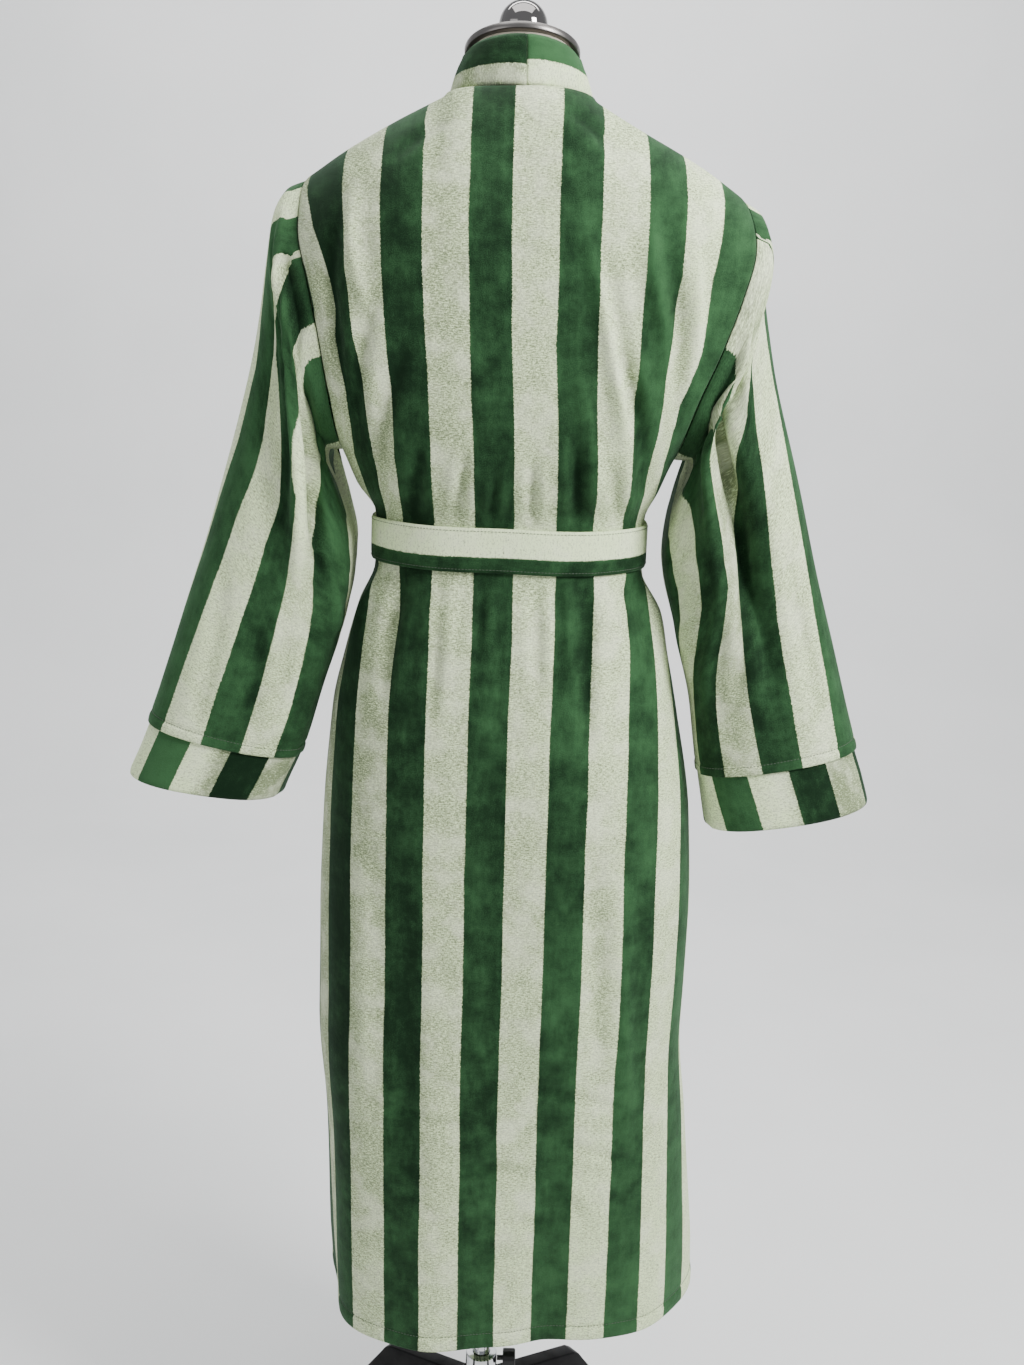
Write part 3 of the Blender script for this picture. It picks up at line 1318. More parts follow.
# Places round and down a sleeve, in millimetres from its over line and armhole; the back of the
# sleeve is on the positive side.
SLEEVE_CREASES = {
    Side.LEFT: creases(
        (110, 15, 204, 15, 9, -9.0), (156, 4, 150, 290, 10, 8.0, 6),
        (196, 10, 184, 280, 11, -9.0, 6), (70, 20, 150, 130, 8, -5.0, 10),
        (110, 8, 158, 70, 7, 4.0, -4), (196, 170, 226, 330, 7, 4.0, -6),
        (120, 330, 140, 520, 9, -3.4, 6), (70, 300, 84, 540, 9, -2.8, 8),
        (170, 330, 168, 470, 8, 3.0, 6), (-60, 60, -120, 190, 9, -4.2, 8),
        (-80, 300, -60, 500, 9, -3.0),
    ),
    Side.RIGHT: creases(
        (180, 15, 268, 15, 9, -9.0), (214, 10, 138, 200, 8, -8.0, 4), (190, 8, 112, 190, 9, 5.0, 4),
        (244, 20, 176, 230, 9, 5.0, 4), (138, 190, 150, 420, 9, -4.6, -6),
        (60, 20, 100, 120, 8, -3.6, 8), (176, 230, 178, 460, 9, 4.0, 6),
        (76, 260, 66, 500, 9, -2.8, -6), (-60, 60, -120, 190, 9, -4.2, 8),
        (-80, 300, -60, 500, 9, -3.0),
    ),
}


def skirt_levels(step: float) -> Array:
    """Heights of the fine rows below the armpits, closer together over the hem.

    Args:
        step: Usual height of a row.

    Returns:
        Column of heights.
    """
    top = HEM + HEM_ROWS_HEIGHT
    upper = np.linspace(ARMPIT, top, int((ARMPIT - top) / step) + 1)[1:]
    lower = np.linspace(top, HEM, int(HEM_ROWS_HEIGHT / HEM_ROW) + 1)[1:]
    return np.concatenate([upper, lower])[:, None]


def lie_of_pile(x: Array, z: Array) -> Array:
    """How brightly the body's brushed pile lies, from 0 for dark to 1 for bright."""
    return 0.40 - 0.15 * np.clip(x / 170, -1.2, 1.2) + 0.14 * smooth(-z, -700, -350)


def yoke_stripes(x: Array, z: Array) -> Array:
    """Place across the cloth of points on the upper back.

    Args:
        x: Places across, in millimetres.
        z: Heights.

    Returns:
        Places on the flat cloth, 0 at the edge just to the wearer's right of the middle.
    """
    heights = np.array(sorted(YOKE_EDGES), float)
    count = np.arange(-6, 6)
    places = (count // 2) * PERIOD + (count % 2) * DARK
    rows = []
    for height in heights:
        edges = np.array(YOKE_EDGES[int(height)][::-1], float)
        inside = np.interp(x, edges, places)
        low = places[0] + (x - edges[0]) * DARK / (edges[1] - edges[0])
        high = places[-1] + (x - edges[-1]) * DARK / (edges[-1] - edges[-2])
        rows.append(np.where(x < edges[0], low, np.where(x > edges[-1], high, inside)))
    at = np.clip(z, heights[0], heights[-1])
    i = np.clip(np.searchsorted(heights, at) - 1, 0, len(heights) - 2)
    share = (at - heights[i]) / (heights[i + 1] - heights[i])
    stack = np.stack(rows)
    a = np.take_along_axis(stack, i[None], 0)[0]
    b = np.take_along_axis(stack, i[None] + 1, 0)[0]
    return lerp(a, b, share)


@dataclass
class Tailor:
    """What every cloth piece is made with.

    Attributes:
        finishes: The materials.
        stitches: The stitch tree.
        over_yoke: Fine rows in the yoke.
    """

    finishes: Finishes
    stitches: StitchTree
    over_yoke: int = 72

    def cloth(
        self, name: str, node: str, grid: Grid, nap: Array | float, wall: float = CLOTH
    ) -> bpy.types.Object:
        """Velvet piece that rides with the robe.

        Args:
            name: Name of the piece.
            node: CAD node that it stands for.
            grid: Its outer face.
            nap: Lie of the pile.
            wall: Thickness in millimetres.

        Returns:
            The piece.
        """
        piece = grid.build(name, self.finishes.velvet, wall, nap)
        LOG.info("%s area %.3f m2", name, grid.area())
        return dress(piece, Body.MAST, "robe_velvet", node)

    def panel(self, grid: Grid, height: Array) -> None:
        """Creases a body panel, turns its hem and rolls its seam edges.

        Args:
            grid: The panel, which is changed.
            height: Height of its creases.
        """
        up = grid.steps(0)[-1:] - grid.steps(0)
        hem = smooth(up, 4, HEM_FLAT)
        grid.push(height * hem - HEM_SINK * bell(up - HEM_STITCH, 2.0) + HEM_SWELL * bell(up - 8, 6))
        grid.roll("top start end")

    def sew(
        self, name: str, rows: list[Array], pale: bool = True, seed: int = 1
    ) -> bpy.types.Object:
        """Row of stitches that rides with the robe.

        Args:
            name: Name of the piece.
            rows: Rows of points in millimetres.
            pale: Whether the thread is pale.
            seed: Seed of the small turns.

        Returns:
            The stitches.
        """
        thread = self.finishes.pale_thread if pale else self.finishes.green_thread
        return dress(self.stitches.sew(name, rows, thread, seed), Body.MAST, "robe_velvet")


@dataclass
class BackPanel:
    """Back of the robe, from the shoulders to the hem.

    Attributes:
        tailor: What it is made with.
        columns: Fine columns.
        skirt_step: Height of a fine row below the armpits, in millimetres.
    """

    tailor: Tailor
    columns: int = 196
    skirt_step: float = 6.3

    def grid(self) -> Grid:
        """Fine grid from the wearer's left to the right.

        Returns:
            The grid with its cloth places.
        """
        s = np.linspace(0, 1, self.columns + 1)[None, :]
        column = s * BACK_COLUMNS
        inward = np.minimum(column, BACK_COLUMNS - column)
        sign = np.where(s <= 0.5, 1.0, -1.0)
        end = np.where(s <= 0.5, ARMHOLE.read("left", 0), ARMHOLE.read("right", 0))
        flat = lerp(end, NECK_RADIUS, np.clip(inward / SHOULDER_COLUMNS, 0, 1))
        azimuth = np.radians(90 * (inward - SHOULDER_COLUMNS) / NECK_COLUMNS)
        high = sign * np.where(inward <= SHOULDER_COLUMNS, flat, NECK_RADIUS * np.cos(azimuth))
        _, top_z = SHAPE.yoke_top(high, 1)
        share = (np.linspace(0, 1, self.tailor.over_yoke + 1)[:, None]) ** YOKE_CROWDING
        low = SHAPE.ring_point(180 * s, ARMPIT)[..., 0]
        first = np.where(s <= 0.5, ARMHOLE.read("left", 1), ARMHOLE.read("right", 1))
        here = np.where(s <= 0.5, ARMHOLE.read("left", share), ARMHOLE.read("right", share))
        spread = (here - first) / (end - first)
        yoke = SHAPE.yoke_point(lerp(low, high, spread), lerp(top_z, ARMPIT, share), 1)
        self._ease(yoke)
        skirt = SHAPE.ring_point(180 * s, skirt_levels(self.skirt_step))
        grid = Grid(np.concatenate([yoke, skirt]), -1.0)
        grid.cloth = self._cloth(grid)
        return grid

    def _ease(self, yoke: Array) -> None:
        """Evens out the columns beside the neck."""
        depth = yoke[:1, :, 2] - yoke[..., 2]
        weight = 0.5 * smooth(depth, 1, 14) * bell(np.abs(yoke[..., 0]) - NECK_RADIUS, 26.0)
        weight = (weight * smooth(yoke[..., 2], ARMPIT, ARMPIT + 60))[:, 1:-1, None]
        for _ in range(60):
            between = (yoke[:, :-2] + yoke[:, 2:]) / 2
            yoke[:, 1:-1] = lerp(yoke[:, 1:-1], between, weight)

    def _cloth(self, grid: Grid) -> Array:
        """Places on the flat cloth."""
        p = grid.points
        middle = self.columns // 2
        across = grid.steps(1)
        level = -(across - across[:, middle : middle + 1])
        u = level - STRIPE_EDGE.read("middle", p[..., 2])
        upper = smooth(p[..., 2], BELT_LOW + 4, BELT_HIGH - 4)
        return np.stack([lerp(u, yoke_stripes(p[..., 0], p[..., 2]), upper), p[..., 2]], -1)

    def build(self) -> Grid:
        """Makes the panel with its hem stitches.

        Returns:
            The plain grid, for the sleeves that start on it.
        """
        plain = self.grid()
        grid = replace(plain)
        x, z = grid.points[..., 0], grid.points[..., 2]
        height = CREASING * sum(crease.height(x, z) for crease in BACK_CREASES)
        height = height + ripple(x, z, 0.7, 190.0, 3) * smooth(z, HEM, HEM + 60)
        across = grid.steps(1)
        height = height * smooth(across, 0, SEAM_FADE) * smooth(across[:, ::-1], 0, SEAM_FADE)
        self.tailor.panel(grid, height)
        panel = self.tailor.cloth(
            "robe_back", "back_panel", grid, lie_of_pile(x, z) + PILE_TURN * height
        )
        row = lifted_row(grid, row_at(grid, HEM_STITCH, True))
        hem = self.tailor.sew("hem_stitches_back", [row[2:-2]], False, 4)
        return plain


@dataclass
class FrontPanel:
    """One front of the robe. The wearer's left one lies over the right one.

    Attributes:
        tailor: What it is made with.
        side: Side of the wearer.
        columns: Fine columns.
        skirt_step: Height of a fine row below the armpits.
        stripe_start: Place of the pole's own plane on the flat cloth.
        under_reach: Highest ridge of the under layer.
    """

    tailor: Tailor
    side: Side
    columns: int = 110
    skirt_step: float = 7.2
    stripe_start: float = 26.0
    under_reach: float = 0.4

    def grid(self) -> Grid:
        """Fine grid from the armhole and side seam to the neckband.

        Returns:
            The grid with its cloth places.
        """
        sign, name = self.side.value, self.side.label
        under = self.side is Side.RIGHT
        start = 360.0 if self.side is Side.LEFT else 180.0
        across = np.linspace(0, 1, self.columns + 1)[None, :]
        share = (np.linspace(0, 1, self.tailor.over_yoke + 1)[:, None]) ** YOKE_CROWDING
        high = sign * lerp(ARMHOLE.read(name, 0), NECK_RADIUS, across)
        _, top_z = SHAPE.yoke_top(high, -1)
        inner_z = lerp(SHAPE.yoke_top(np.array(sign * NECK_RADIUS), -1)[1], ARMPIT, share)
        outer_x = sign * ARMHOLE.read(name, share)
        inner_x = -sign * SHAPE.seam_reach(inner_z)
        last = SHAPE.front_facing(-sign * SHAPE.seam_reach(ARMPIT), ARMPIT)
        low = SHAPE.ring_point(lerp(start, last, across), ARMPIT)[..., 0]
        edge = SHAPE.ring_point(last, ARMPIT)[..., 0]
        corner = sign * ARMHOLE.read(name, 1)
        low_share = (corner - low) / (corner - edge)
        x = lerp(outer_x, inner_x, lerp(across, low_share, share))
        yoke = SHAPE.yoke_point(x, lerp(top_z, ARMPIT, share), -1)
        levels = skirt_levels(self.skirt_step)
        facing = lerp(start, SHAPE.front_facing(-sign * SHAPE.seam_reach(levels), levels), across)
        points = np.concatenate([yoke, SHAPE.ring_point(facing, levels)])
        if under:
            points[..., 1] += SHAPE.under_shift(points[..., 0], points[..., 2])
        grid = Grid(points, float(sign))
        grid.cloth = np.stack([self._across(grid) + self.stripe_start, points[..., 2]], -1)
        return grid

    def _across(self, grid: Grid) -> Array:
        """Lengths along the cloth from the pole's own plane, along each row."""
        x, across = grid.points[..., 0] * self.side.value, grid.steps(1)
        falling = -np.maximum.accumulate(x[:, ::-1], 1)[:, ::-1]
        rows = [np.interp(0.0, row, far) for row, far in zip(falling, across)]
        middle = np.array(rows) + np.maximum(x[:, -1], 0)
        return self.side.value * (middle[:, None] - across)

    def build(self) -> Grid:
        """Makes the panel with its hem stitches.

        Returns:
            The plain grid, for the sleeve that starts on it.
        """
        plain = self.grid()
        grid = replace(plain)
        x, z = grid.points[..., 0], grid.points[..., 2]
        height = CREASING * sum(crease.height(x, z) for crease in FRONT_CREASES[self.side])
        height = height + ripple(x, z, 0.6, 180.0, 11 + self.side.value) * smooth(z, HEM, HEM + 60)
        across = grid.steps(1)
        if self.side is Side.RIGHT:
            height = np.minimum(height, self.under_reach)
        height = height * (
            smooth(across, 0, SEAM_FADE) * smooth(across[:, -1:] - across, 0, BAND_FADE)
        )
        self.tailor.panel(grid, height)
        name = self.side.label
        panel = self.tailor.cloth(
            f"robe_front_{name}", f"front_{name}", grid, lie_of_pile(x, z) + PILE_TURN * height
        )
        row = lifted_row(grid, row_at(grid, HEM_STITCH, True))
        hem = self.tailor.sew(f"hem_stitches_front_{name}", [row[2:-2]], False, 6)
        return plain


def tube_point(size: dict, sign: float, around: Array, inset: Array | float = 0.0) -> Array:
    """Points of a sleeve's plain tube.

    Args:
        size: Sizes by column name, each a number or a column of numbers.
        sign: 1 on the wearer's left, -1 on the right.
        around: Share round the tube.
        inset: How far inside the tube's own size.

    Returns:
        Points.
    """
    shape = np.broadcast(size["over_x"], around).shape
    over = np.stack(
        [np.broadcast_to(v, shape) for v in (sign * size["over_x"], size["mid_y"], size["over_z"])],
        -1,
    )
    under = np.stack(
        [np.broadcast_to(v, shape) for v in (sign * size["under_x"], size["mid_y"], size["under_z"])],
        -1,
    )
    half = (over - under) / 2
    angle = 2 * math.pi * np.broadcast_to(around, shape)
    wide = np.linalg.norm(half, axis=-1) - inset
    deep = size["depth"] / 2 - inset
    radius = squared_radius(angle, wide, np.broadcast_to(deep, shape), SLEEVE_SQUARE)
    middle = (over + under) / 2 + unit(half) * (radius * np.cos(angle))[..., None]
    middle[..., 1] += radius * np.sin(angle)
    return middle


@dataclass
class Sleeve:
    """Sleeve with its hem over a cuff band.

    Attributes:
        tailor: What it is made with.
        side: Side of the wearer.
        back: Grid of the back panel.
        front: Grid of the front on the same side.
        rows: Fine rows from armhole to hem.
        usual_round: Usual length round the tube, in millimetres.
    """

    tailor: Tailor
    side: Side
    back: Grid
    front: Grid
    rows: int = 130
    usual_round: float = 400.0

    def _sizes(self, along: Array) -> dict[str, Array]:
        """Sizes of the tube by the share of its length."""
        table = SLEEVE[self.side]
        return {name: table.read(name, along) for name in SLEEVE_NAMES.split()[1:]}

    def _loop(self) -> tuple[Array, Array]:
        """Points round the armhole, down the back and up the front, and their shares round it."""
        yoke = self.tailor.over_yoke
        column = 0 if self.side is Side.LEFT else -1
        down = self.back.points[: yoke + 1, column]
        up = self.front.points[1:yoke, 0][::-1]
        loop = np.concatenate([down, up])
        steps = np.linalg.norm(np.diff(np.concatenate([loop, loop[:1]]), axis=0), axis=-1)
        length = np.concatenate([[0], np.cumsum(steps)])
        half, whole = length[yoke], length[-1]
        shares = np.where(
            np.arange(len(loop)) <= yoke,
            0.5 * length[:-1] / half,
            0.5 + 0.5 * (length[:-1] - half) / (whole - half),
        )
        return loop, shares

    def grid(self) -> tuple[Grid, Array]:
        """Fine grid from the armhole to the hem.

        Returns:
            The grid with its cloth places, and the shares round it.
        """
        sign = float(self.side.value)
        loop, shares = self._loop()
        along = np.linspace(0, 1, self.rows + 1) ** 1.15 * SLEEVE_HEM_ROWS_FROM
        lower = np.linspace(SLEEVE_HEM_ROWS_FROM, 1, SLEEVE_HEM_ROWS + 1)[1:]
        along = np.concatenate([along, lower])[:, None]
        around = shares[None, :]
        size = self._sizes(along)
        place = tube_point(size, sign, around)
        centre = (tube_point(size, sign, np.array([[0.0]])) + tube_point(size, sign, np.array([[0.5]]))) / 2
        out = unit(place - centre)
        start = tube_point(self._sizes(np.array([[0.0]])), sign, around)
        fade = 1 - smooth(along, 0, ARMHOLE_FADE)
        kick = ARMHOLE_KICK * smooth(along, 0, KICK_PEAK) * (1 - smooth(along, KICK_PEAK, ARMHOLE_FADE))
        place = place + (loop[None] - start) * fade[..., None]
        place[..., 0] += sign * kick
        reach = np.zeros(place.shape[:2])
        for at, drift, spread, size_mm, first, last in SLEEVE_FOLDS[self.side]:
            middle, half = (first + last) / 2, (last - first) / 2
            grown = np.clip(1 - ((along - middle) / half) ** 2, 0, 1)
            centre_at = at + drift * (along - first) / (last - first)
            reach += size_mm * grown * bell(around - centre_at, spread)
        place = place + out * reach[..., None]
        grid = Grid(place, -sign, True, seam=self.tailor.over_yoke)
        grid.cloth = self._cloth(grid)
        return grid, shares

    def _cloth(self, grid: Grid, start: float = 0.0) -> Array:
        """Places on the flat cloth, from a start at the over line."""
        u = grid.flat_lengths()
        down = grid.steps(0).mean(1, keepdims=True)
        return np.stack([u + start, np.broadcast_to(-down, u.shape)], -1)

    def _stripes(self, cloth: Array) -> Array:
        """Places across the cloth with the stripes eased as the edge table says."""
        table = SLEEVE_EDGES[self.side]
        levels = np.array(sorted(table), float)
        edges = np.array([table[int(level)] for level in levels], float)
        count = FIRST_EDGE[self.side] + np.arange(edges.shape[1])
        places = (count // 2) * PERIOD + (count % 2) * DARK
        done = np.empty_like(cloth[..., 0])
        for i, row in enumerate(cloth):
            here = np.array([np.interp(-row[0, 1], levels, column) for column in edges.T])
            u = row[:, 0]
            past = np.maximum(u - here[-1], 0) + np.minimum(u - here[0], 0)
            done[i] = np.interp(u, here, places) + past
        return done

    def build(self) -> None:
        """Makes the sleeve, its cuff and their stitches."""
        grid, shares = self.grid()
        name = self.side.label
        x, down = grid.cloth[:, :-1, 0].copy(), -grid.cloth[:, :-1, 1]
        grid.cloth[..., 0] = self._stripes(grid.cloth)
        height = sum(crease.height(x, down) for crease in SLEEVE_CREASES[self.side])
        height = height + ripple(x, down, 0.7, 150.0, 21 + self.side.value)
        up = grid.steps(0)[-1:] - grid.steps(0)
        height = height * smooth(down, 0, 20) * smooth(up, 10, 40)
        nap = SLEEVE_NAP[self.side] + 0.12 * np.sin(x / 34) + PILE_TURN * height
        height += 0.7 * bell(up - 5, 5) - SLEEVE_SINK * bell(up - 11, 2.0)
        grid.push(height)
        grid.roll("top", 0.8, 2.6)
        seam = bell((shares - 0.5) * self.usual_round, 3.0)[None, :]
        grid.push(-1.2 * np.broadcast_to(seam, down.shape) * smooth(down, 6, 20))
        sleeve = self.tailor.cloth(f"robe_sleeve_{name}", f"sleeve_{name}", grid, nap)
        rows = [lifted_row(grid, row_at(grid, SLEEVE_STITCH, True))]
        hem = self.tailor.sew(f"sleeve_stitches_{name}", rows, False, 8)
        self._cuff(shares)

    def _cuff(self, shares: Array) -> None:
        """Makes the cuff band inside the sleeve's hem.

        Args:
            shares: Shares round the sleeve.
        """
        name = self.side.label
        sign = float(self.side.value)
        inset = CLOTH + 2 * SEAM_GAP
        hem = self._sizes(np.array(1.0))
        start = self._sizes(np.array(CUFF_START))
        end = CUFF_END[self.side]
        t = np.linspace(0, 2, 41)[:, None]
        size = {
            key: np.where(t < 1, lerp(start[key], hem[key], t), lerp(hem[key], end[key], t - 1))
            for key in end
        }
        tuck = inset * np.where(t < 1, 1.0, 1 - (t - 1) * 0.9)
        points = tube_point(size, sign, shares[None, :], tuck)
        grid = Grid(points, -sign, True, seam=self.tailor.over_yoke)
        grid.cloth = self._cloth(grid, CUFF_STRIPES[self.side])
        around, down = grid.flat_lengths()[:, :-1], grid.steps(0)
        waves = ripple(around, down, 0.8, 120.0, 31 + self.side.value)
        nap = lerp(*CUFF_NAP[self.side], smooth(around, 95, 125)) + PILE_TURN * waves
        grid.push(waves * smooth(down, 20, 50) - bell(down[-1:] - down, 2.0))
        cuff = self.tailor.cloth(f"robe_cuff_{name}", f"cuff_{name}", grid, nap)


@dataclass
class Neckband:
    """One half of the neckband, from the seam at the back to the hem in front.

    Attributes:
        tailor: What it is made with.
        side: Side of the wearer.
    """

    tailor: Tailor
    side: Side

    def _standing(self, degrees: Array) -> Array:
        """Seam, middle and free edge where the band stands round the neck."""
        step = 90 / NECK_COLUMNS
        before = np.floor(degrees / step) * step
        share = ((degrees - before) / step)[:, None]
        seam = lerp(self._seam(before), self._seam(before + step), share)
        angle = np.radians(degrees)
        rise = np.maximum(0, np.sin(angle))
        wide, deep = BAND_TOP_RADIUS * np.cos(angle), BAND_TOP_BACK * np.sin(angle)
        edge = np.stack([wide, deep, BAND_TOP_SIDE + BAND_TOP_RISE * rise], -1)
        middle = (seam + edge) / 2
        middle[:, 0] += BAND_BELLY * np.cos(angle)
        middle[:, 1] += BAND_BELLY * np.sin(angle)
        return np.stack([seam, middle, edge], 1)

    def _seam(self, degrees: Array) -> Array:
        """Neck seam of the yoke in directions from the pole."""
        angle = np.radians(degrees)
        height = NECK_SEAM + NECK_TILT_BACK * np.sin(angle)
        return np.stack([NECK_RADIUS * np.cos(angle), NECK_RADIUS * np.sin(angle), height], -1)

    def _hanging(self, z: Array) -> Array:
        """Seam, middle and free edge down the front, turning up toward the neck."""
        sign, under = float(self.side.value), self.side is Side.RIGHT
        slope = (SHAPE.seam_reach(z + 4) - SHAPE.seam_reach(z - 4)) / 8
        slope = np.where(z > BELT_HIGH, slope, 0.0)
        norm = np.sqrt(1 + slope**2)
        lean_x, lean_z = 1 / norm, -slope / norm
        share = np.array([0, 0.5, 1])[None, :]
        x = -sign * (SHAPE.seam_reach(z)[:, None] + share * BAND_WIDTH * lean_x[:, None])
        lying = SHAPE.front_point(x, z[:, None] + share * BAND_WIDTH * lean_z[:, None], under)
        stand = smooth(z, STAND_FROM, NECK_SEAM)[:, None]
        seam = lying[:, 0]
        out = self._chest_normal(seam[:, 0], z)
        inward = unit(np.stack([-seam[:, 0], -seam[:, 1], np.zeros(len(z))], -1))
        rise = unit(inward * STAND_LEAN + np.array([0, 0, 1.0]))
        line = [seam]
        for i in (1, 2):
            reach = i * BAND_WIDTH / 2
            way = lerp(lying[:, i] - seam, rise * reach, stand)
            least = STAND_OUT * reach * np.minimum(1, 3 * stand[:, 0])
            lack = np.maximum(0, least - (way * out).sum(-1))
            line.append(seam + unit(way + out * lack[:, None]) * reach)
        standing = np.stack(line, 1)
        lift = unit(standing[:, 2] - seam) * STAND_GAP * 4 * stand * (1 - stand)
        standing = standing + lift[:, None]
        return np.where((stand > 0)[..., None], standing, lying)

    def _chest_normal(self, x: Array, z: Array) -> Array:
        """Normals of the plain front."""
        across = SHAPE.yoke_point(x + 2, z, -1) - SHAPE.yoke_point(x - 2, z, -1)
        down = SHAPE.yoke_point(x, z - 4, -1) - SHAPE.yoke_point(x, z - 2, -1)
        return unit(np.cross(down, across))

    def grid(self) -> Grid:
        """Fine grid, across from the seam to the free edge.

        Returns:
            The grid with its cloth places.
        """
        left = self.side is Side.LEFT
        first = BAND_SEAM_AZIMUTH if left else 180 - BAND_SEAM_AZIMUTH
        azimuth = np.linspace(first, 0, 52)
        standing = self._standing(azimuth if left else 180 - azimuth)
        top = float(SHAPE.yoke_top(np.array(float(NECK_RADIUS)), -1)[1])
        share = np.linspace(0, 1, 90)[1:] ** YOKE_CROWDING
        heights = np.concatenate([lerp(top, ARMPIT, share), np.linspace(ARMPIT, HEM, 120)[1:]])
        three = np.concatenate([standing, self._hanging(heights)])
        t = np.linspace(0, 1, 13)[None, :, None]
        a, b, c = three[:, 0, None], three[:, 1, None], three[:, 2, None]
        points = a * (1 - t) * (1 - 2 * t) + b * 4 * t * (1 - t) + c * t * (2 * t - 1)
        grid = Grid(points, float(self.side.value))
        across, down = grid.steps(1), grid.steps(0)
        u = BAND_STRIPES[self.side] - across * (BAND_WIDTH / np.maximum(across[:, -1:], 1))
        grid.cloth = np.stack([u, -down], -1)
        return grid

    def build(self) -> None:
        """Makes the band."""
        name = self.side.label
        grid = self.grid()
        across, down = grid.steps(1), grid.steps(0)
        puff = 0.7 * np.sin(math.pi * across / across[:, -1:])
        waves = ripple(across, down, 0.35, 90.0, 41 + self.side.value)
        grid.push((puff + waves) * smooth(down, 0, 8))
        grid.roll("start", 1.2, 2.6)
        grid.roll("end", 0.9, 1.8)
        grid.roll("top", 0.9, 1.6)
        band = self.tailor.cloth(
            f"robe_neckband_{name}", f"neckband_{name}", grid, BAND_NAP[self.side], BAND_CLOTH
        )


